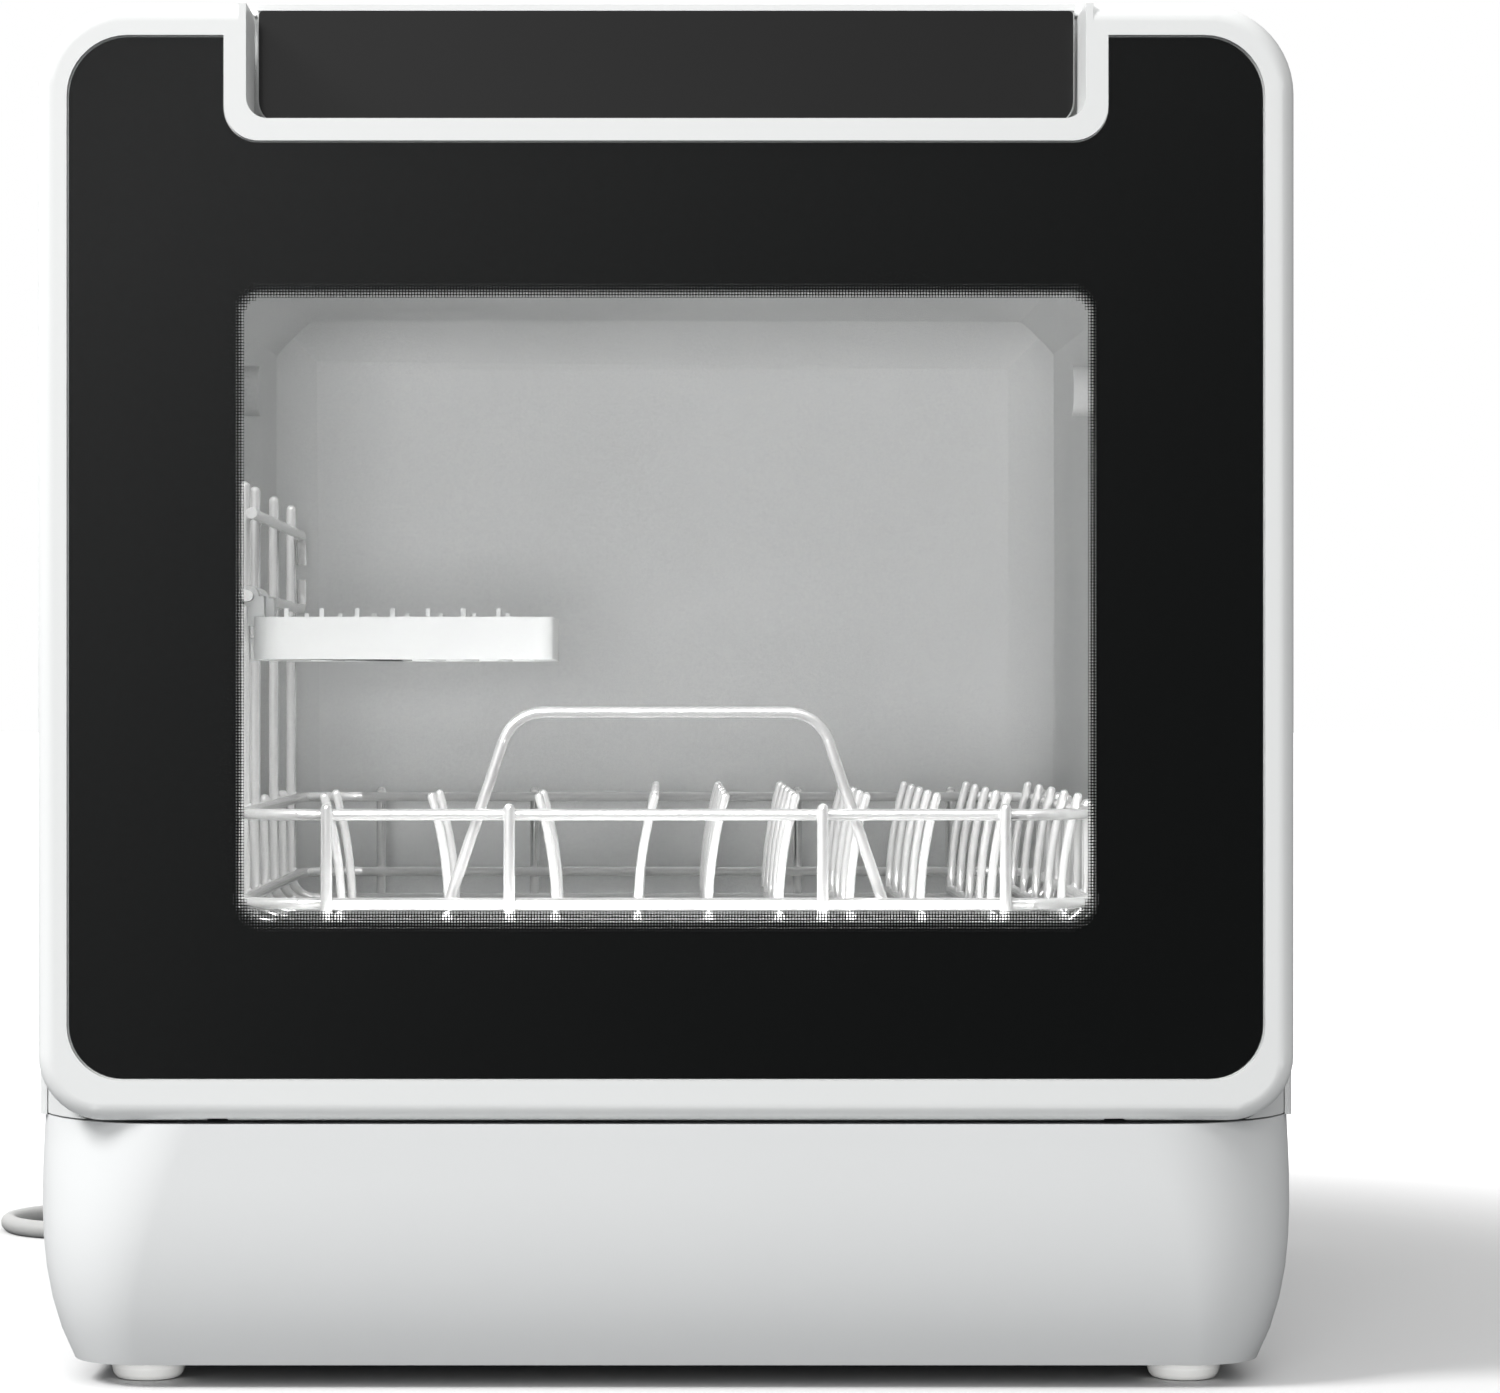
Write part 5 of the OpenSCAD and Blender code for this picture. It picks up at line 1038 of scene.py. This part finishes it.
@dataclass
class BackScrews(Assembly):
    """The six cross-head screws of the back panel."""

    head: float = 7.2
    height: float = 1.6
    rounding: float = 0.5
    arm: float = 3.6
    arm_width: float = 0.95
    sink: float = 0.9
    shank: tuple[float, float] = (3.0, 10.5)
    facing: float = 0.99
    at_x: float = 206.5
    heights: tuple[float, ...] = (115.0, 279.0, 414.0)
    turn: float = 17.0

    def _on_top(self, face: object) -> bool:
        """Says whether a face lies on the head's flat top."""
        return face.normal.z > self.facing

    def _screw(self) -> bpy.types.Object:
        """Models one screw at the frame's origin, with its head towards +Z."""
        Bench.clear()
        bpy.ops.mesh.primitive_cylinder_add(
            vertices=32, radius=self.head / 2 * MM, depth=self.height * MM,
            location=(0, 0, self.height / 2 * MM),
        )
        screw = Bench.settle(bpy.context.object)
        Bench.round_edges(screw, self.rounding, 3, 60)
        half_arm, half_width = self.arm / 2 * MM, self.arm_width / 2 * MM
        for offset in (-half_arm, -half_width, half_width, half_arm):
            for normal in ((1, 0, 0), (0, 1, 0)):
                Bench.pick(screw, "faces", self._on_top)
                bpy.ops.mesh.bisect(plane_co=tuple(offset * n for n in normal), plane_no=normal)

        def in_cross(face: object) -> bool:
            """Says whether a face of the top lies in the cross."""
            x, y, _ = (abs(v) for v in face.calc_center_median())
            return self._on_top(face) and min(x, y) < half_width and max(x, y) < half_arm

        Bench.pick(screw, "faces", in_cross)
        bpy.ops.mesh.extrude_region_move(
            TRANSFORM_OT_translate={"value": (0.0, 0.0, -self.sink * MM)}
        )
        bpy.ops.mesh.select_all(action="SELECT")
        bpy.ops.mesh.normals_make_consistent(inside=False)
        bpy.ops.object.mode_set(mode="OBJECT")
        shank_d, shank_l = self.shank
        bpy.ops.mesh.primitive_cylinder_add(
            vertices=20, radius=shank_d / 2 * MM, depth=shank_l * MM, location=(0, 0, -shank_l / 2 * MM)
        )
        return Bench.join([screw, bpy.context.object], "screw")

    def build(self) -> None:
        """Sets a copy of the screw at each of the six holes."""
        spots = [(side * self.at_x, z) for side in (-1, 1) for z in self.heights]
        screws = [self._screw()]
        for _ in spots[1:]:
            copy = screws[0].copy()
            copy.data = screws[0].data.copy()
            bpy.context.scene.collection.objects.link(copy)
            screws.append(copy)
        for index, (screw, (x, z)) in enumerate(zip(screws, spots)):
            screw.location = PLACE.at(x, PLACE.panel_depth, z)
            screw.rotation_euler = (math.radians(-90), math.radians(self.turn * index), 0)
        joined = Bench.join(screws, "cross_head_screws")
        self.shop.finish(joined, "cabinet", "steel_pin", "back_screws")


@dataclass
class HoseFittings(Assembly):
    """The water inlet with its thread and the drain spigot with its barbs."""

    inlet: tuple[float, float] = (-90.0, 125.0)
    spigot: tuple[float, float] = (150.0, 125.0)
    inlet_d: float = 26.4
    spigot_d: float = 18.0
    skin: float = 0.25
    past_panel: float = 0.5
    pitch: float = 1.814
    turns: int = 6
    turn_steps: int = 40
    groove: float = 1.1
    ridge: float = 0.8
    ridge_sink: float = 0.85
    ridge_start: float = 3.2
    ridge_angle: float = 50.0
    barbs: int = 3
    barb_start: float = 6.0
    barb_step: float = 4.2
    barb_length: float = 3.6
    barb_rise: float = 1.0
    barb_wall: float = 0.8
    barb_rounding: float = 0.15

    def _turned_down(
        self, name: str, node: bpy.types.Object, centre: tuple[float, float], d: float, cut: float
    ) -> bpy.types.Object:
        """Copies a fitting and turns its free end down by the depth of its rings.

        Args:
            name: the new piece's name.
            node: the CAD node.
            centre: its axis in X and Z.
            d: its outer diameter.
            cut: how deep the rings are.

        Returns:
            The new object.
        """
        piece = Bench.copy_node(name, node)
        axis = PLACE.at(centre[0], 0, centre[1])
        least_y = PLACE.at(0, PLACE.panel_depth + self.past_panel, 0).y

        def on_end(vert: object) -> bool:
            """Says whether a point lies on the free end's outer skin."""
            away = math.hypot(vert.co.x - axis.x, vert.co.z - axis.z) / MM
            return abs(away - d / 2) < self.skin and vert.co.y > least_y

        if Bench.pick(piece, "verts", on_end):
            shrink = (d / 2 - cut) / (d / 2)
            bpy.ops.transform.resize(value=(shrink, 1.0, shrink), center_override=axis)
        bpy.ops.object.mode_set(mode="OBJECT")
        return piece

    def _thread(self) -> bpy.types.Object:
        """Winds one ridge round the inlet."""
        Bench.clear()
        bpy.ops.mesh.primitive_circle_add(vertices=4, radius=self.ridge * MM, fill_type="NOTHING")
        thread = bpy.context.object
        thread.name = "inlet_thread"
        thread.rotation_euler = (math.radians(90), 0, 0)
        thread.location = ((self.inlet_d / 2 - self.ridge_sink) * MM, 0, 0)
        Bench.settle(thread)
        Bench.modifier(
            thread, "SCREW", axis="Z", steps=self.turn_steps, render_steps=self.turn_steps,
            iterations=self.turns, screw_offset=self.pitch * MM, use_merge_vertices=False,
        )
        thread.rotation_euler = (math.radians(-90), 0, 0)
        x, z = self.inlet
        thread.location = PLACE.at(x, PLACE.panel_depth + self.ridge_start, z)
        return Bench.settle(thread)

    def _barbs(self) -> bpy.types.Object:
        """Makes the barbs on the spigot."""
        Bench.clear()
        x, z = self.spigot
        radius = self.spigot_d / 2
        rings: list[bpy.types.Object] = []
        for step in range(self.barbs):
            depth = PLACE.panel_depth + self.barb_start + self.barb_step * step
            bpy.ops.mesh.primitive_cone_add(
                vertices=40, radius1=radius * MM, radius2=(radius - self.barb_rise) * MM,
                depth=self.barb_length * MM, end_fill_type="NOTHING",
                location=PLACE.at(x, depth, z), rotation=(math.radians(-90), 0, 0),
            )
            rings.append(bpy.context.object)
        barbs = Bench.join(rings, "spigot_barbs")
        Bench.modifier(barbs, "SOLIDIFY", thickness=self.barb_wall * MM, offset=-1.0)
        Bench.round_edges(barbs, self.barb_rounding, 2, 50)
        return barbs

    def build(self) -> None:
        """Makes both fittings."""
        valve, drain = "inlet_valve", "drain_spigot"
        inlet = self._turned_down(
            "inlet_form", self.shop.nodes[valve], self.inlet, self.inlet_d, self.groove
        )
        self.shop.finish(inlet, "cabinet", self.shop.slot_of[valve], valve)
        self.shop.finish(self._thread(), "cabinet", self.shop.slot_of[valve], angle=self.ridge_angle)
        spigot = self._turned_down(
            "spigot_form", self.shop.nodes[drain], self.spigot, self.spigot_d, self.barb_rise
        )
        self.shop.finish(spigot, "cabinet", self.shop.slot_of[drain], drain)
        self.shop.finish(self._barbs(), "cabinet", self.shop.slot_of[drain])


@dataclass
class PressedBeads(Assembly):
    """Stiffening beads pressed into the back panel."""

    at_x: float = -60.0
    heights: tuple[float, ...] = (235.0, 265.0, 295.0, 325.0)
    length: float = 180.0
    width: float = 9.0
    rise: float = 1.1
    end_share: float = 0.49
    end_segments: int = 8
    rounding: float = 0.9

    def _bead(self, height: float) -> bpy.types.Object:
        """Makes one bead with round ends, half of it inside the panel.

        Args:
            height: its middle above the worktop, in millimetres.

        Returns:
            The bead's object.
        """
        bpy.ops.mesh.primitive_cube_add(
            size=1.0, location=PLACE.at(self.at_x, PLACE.panel_depth, height)
        )
        bead = bpy.context.object
        bead.scale = (self.length * MM, 2 * self.rise * MM, self.width * MM)
        Bench.settle(bead)

        def through(edge: object) -> bool:
            """Says whether an edge runs through the panel."""
            return abs((edge.verts[0].co - edge.verts[1].co).y) > self.rise * MM

        Bench.pick(bead, "edges", through)
        bpy.ops.mesh.bevel(
            offset=self.width * self.end_share * MM, segments=self.end_segments, affect="EDGES"
        )
        bpy.ops.object.mode_set(mode="OBJECT")
        Bench.round_edges(bead, self.rounding, 3, 50)
        return bead

    def build(self) -> None:
        """Makes the beads as one piece."""
        Bench.clear()
        beads = Bench.join([self._bead(height) for height in self.heights], "back_beads")
        self.shop.finish(beads, "cabinet", "steel_sheet")


@dataclass
class Carried(Assembly):
    """Every other piece: a clean copy of its CAD shape with its edges rounded."""

    usual: float = 0.3
    roundings: dict[str, float] = field(
        default_factory=lambda: {
            "base_shell": 0.0, "feet": 0.0, "pump_hose": 0.0, "spray_hose": 0.0, "drain_hose": 0.0,
            "console_housing": 0.5, "spray_arm": 0.6, "spray_hub": 0.5, "float_dome": 0.5,
            "door_frame": 0.6, "door_liner": 0.4, "handle_pocket": 0.8, "door_striker": 0.6,
            "power_board": 0.15, "control_board": 0.1, "water_tank": 1.0, "filter_plate": 0.15,
            "hinge_pins": 0.2, "fan_impeller": 0.2,
        }
    )

    def build(self) -> None:
        """Makes a copy of each node that nothing else stands for, and dresses the nodes themselves."""
        for node, carried in self.shop.nodes.items():
            if node not in self.shop.done:
                self.shop.dressed(node, self.roundings.get(node, self.usual))
            self.shop.wardrobe.dress(carried, self.shop.slot_of[node])


def main() -> None:
    """Builds the scene, one sub-assembly after the other."""
    logging.basicConfig(level=logging.INFO, format="%(name)s: %(message)s")
    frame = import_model()
    shop = Workshop(frame, Wardrobe())
    studio = Studio()
    studio.build()
    for kind in (MainsLead, DoorPanel, Wirework, BackScrews, HoseFittings, PressedBeads, Carried):
        kind(shop).build()
    studio.light_inside()


if __name__ == "__main__":
    main()
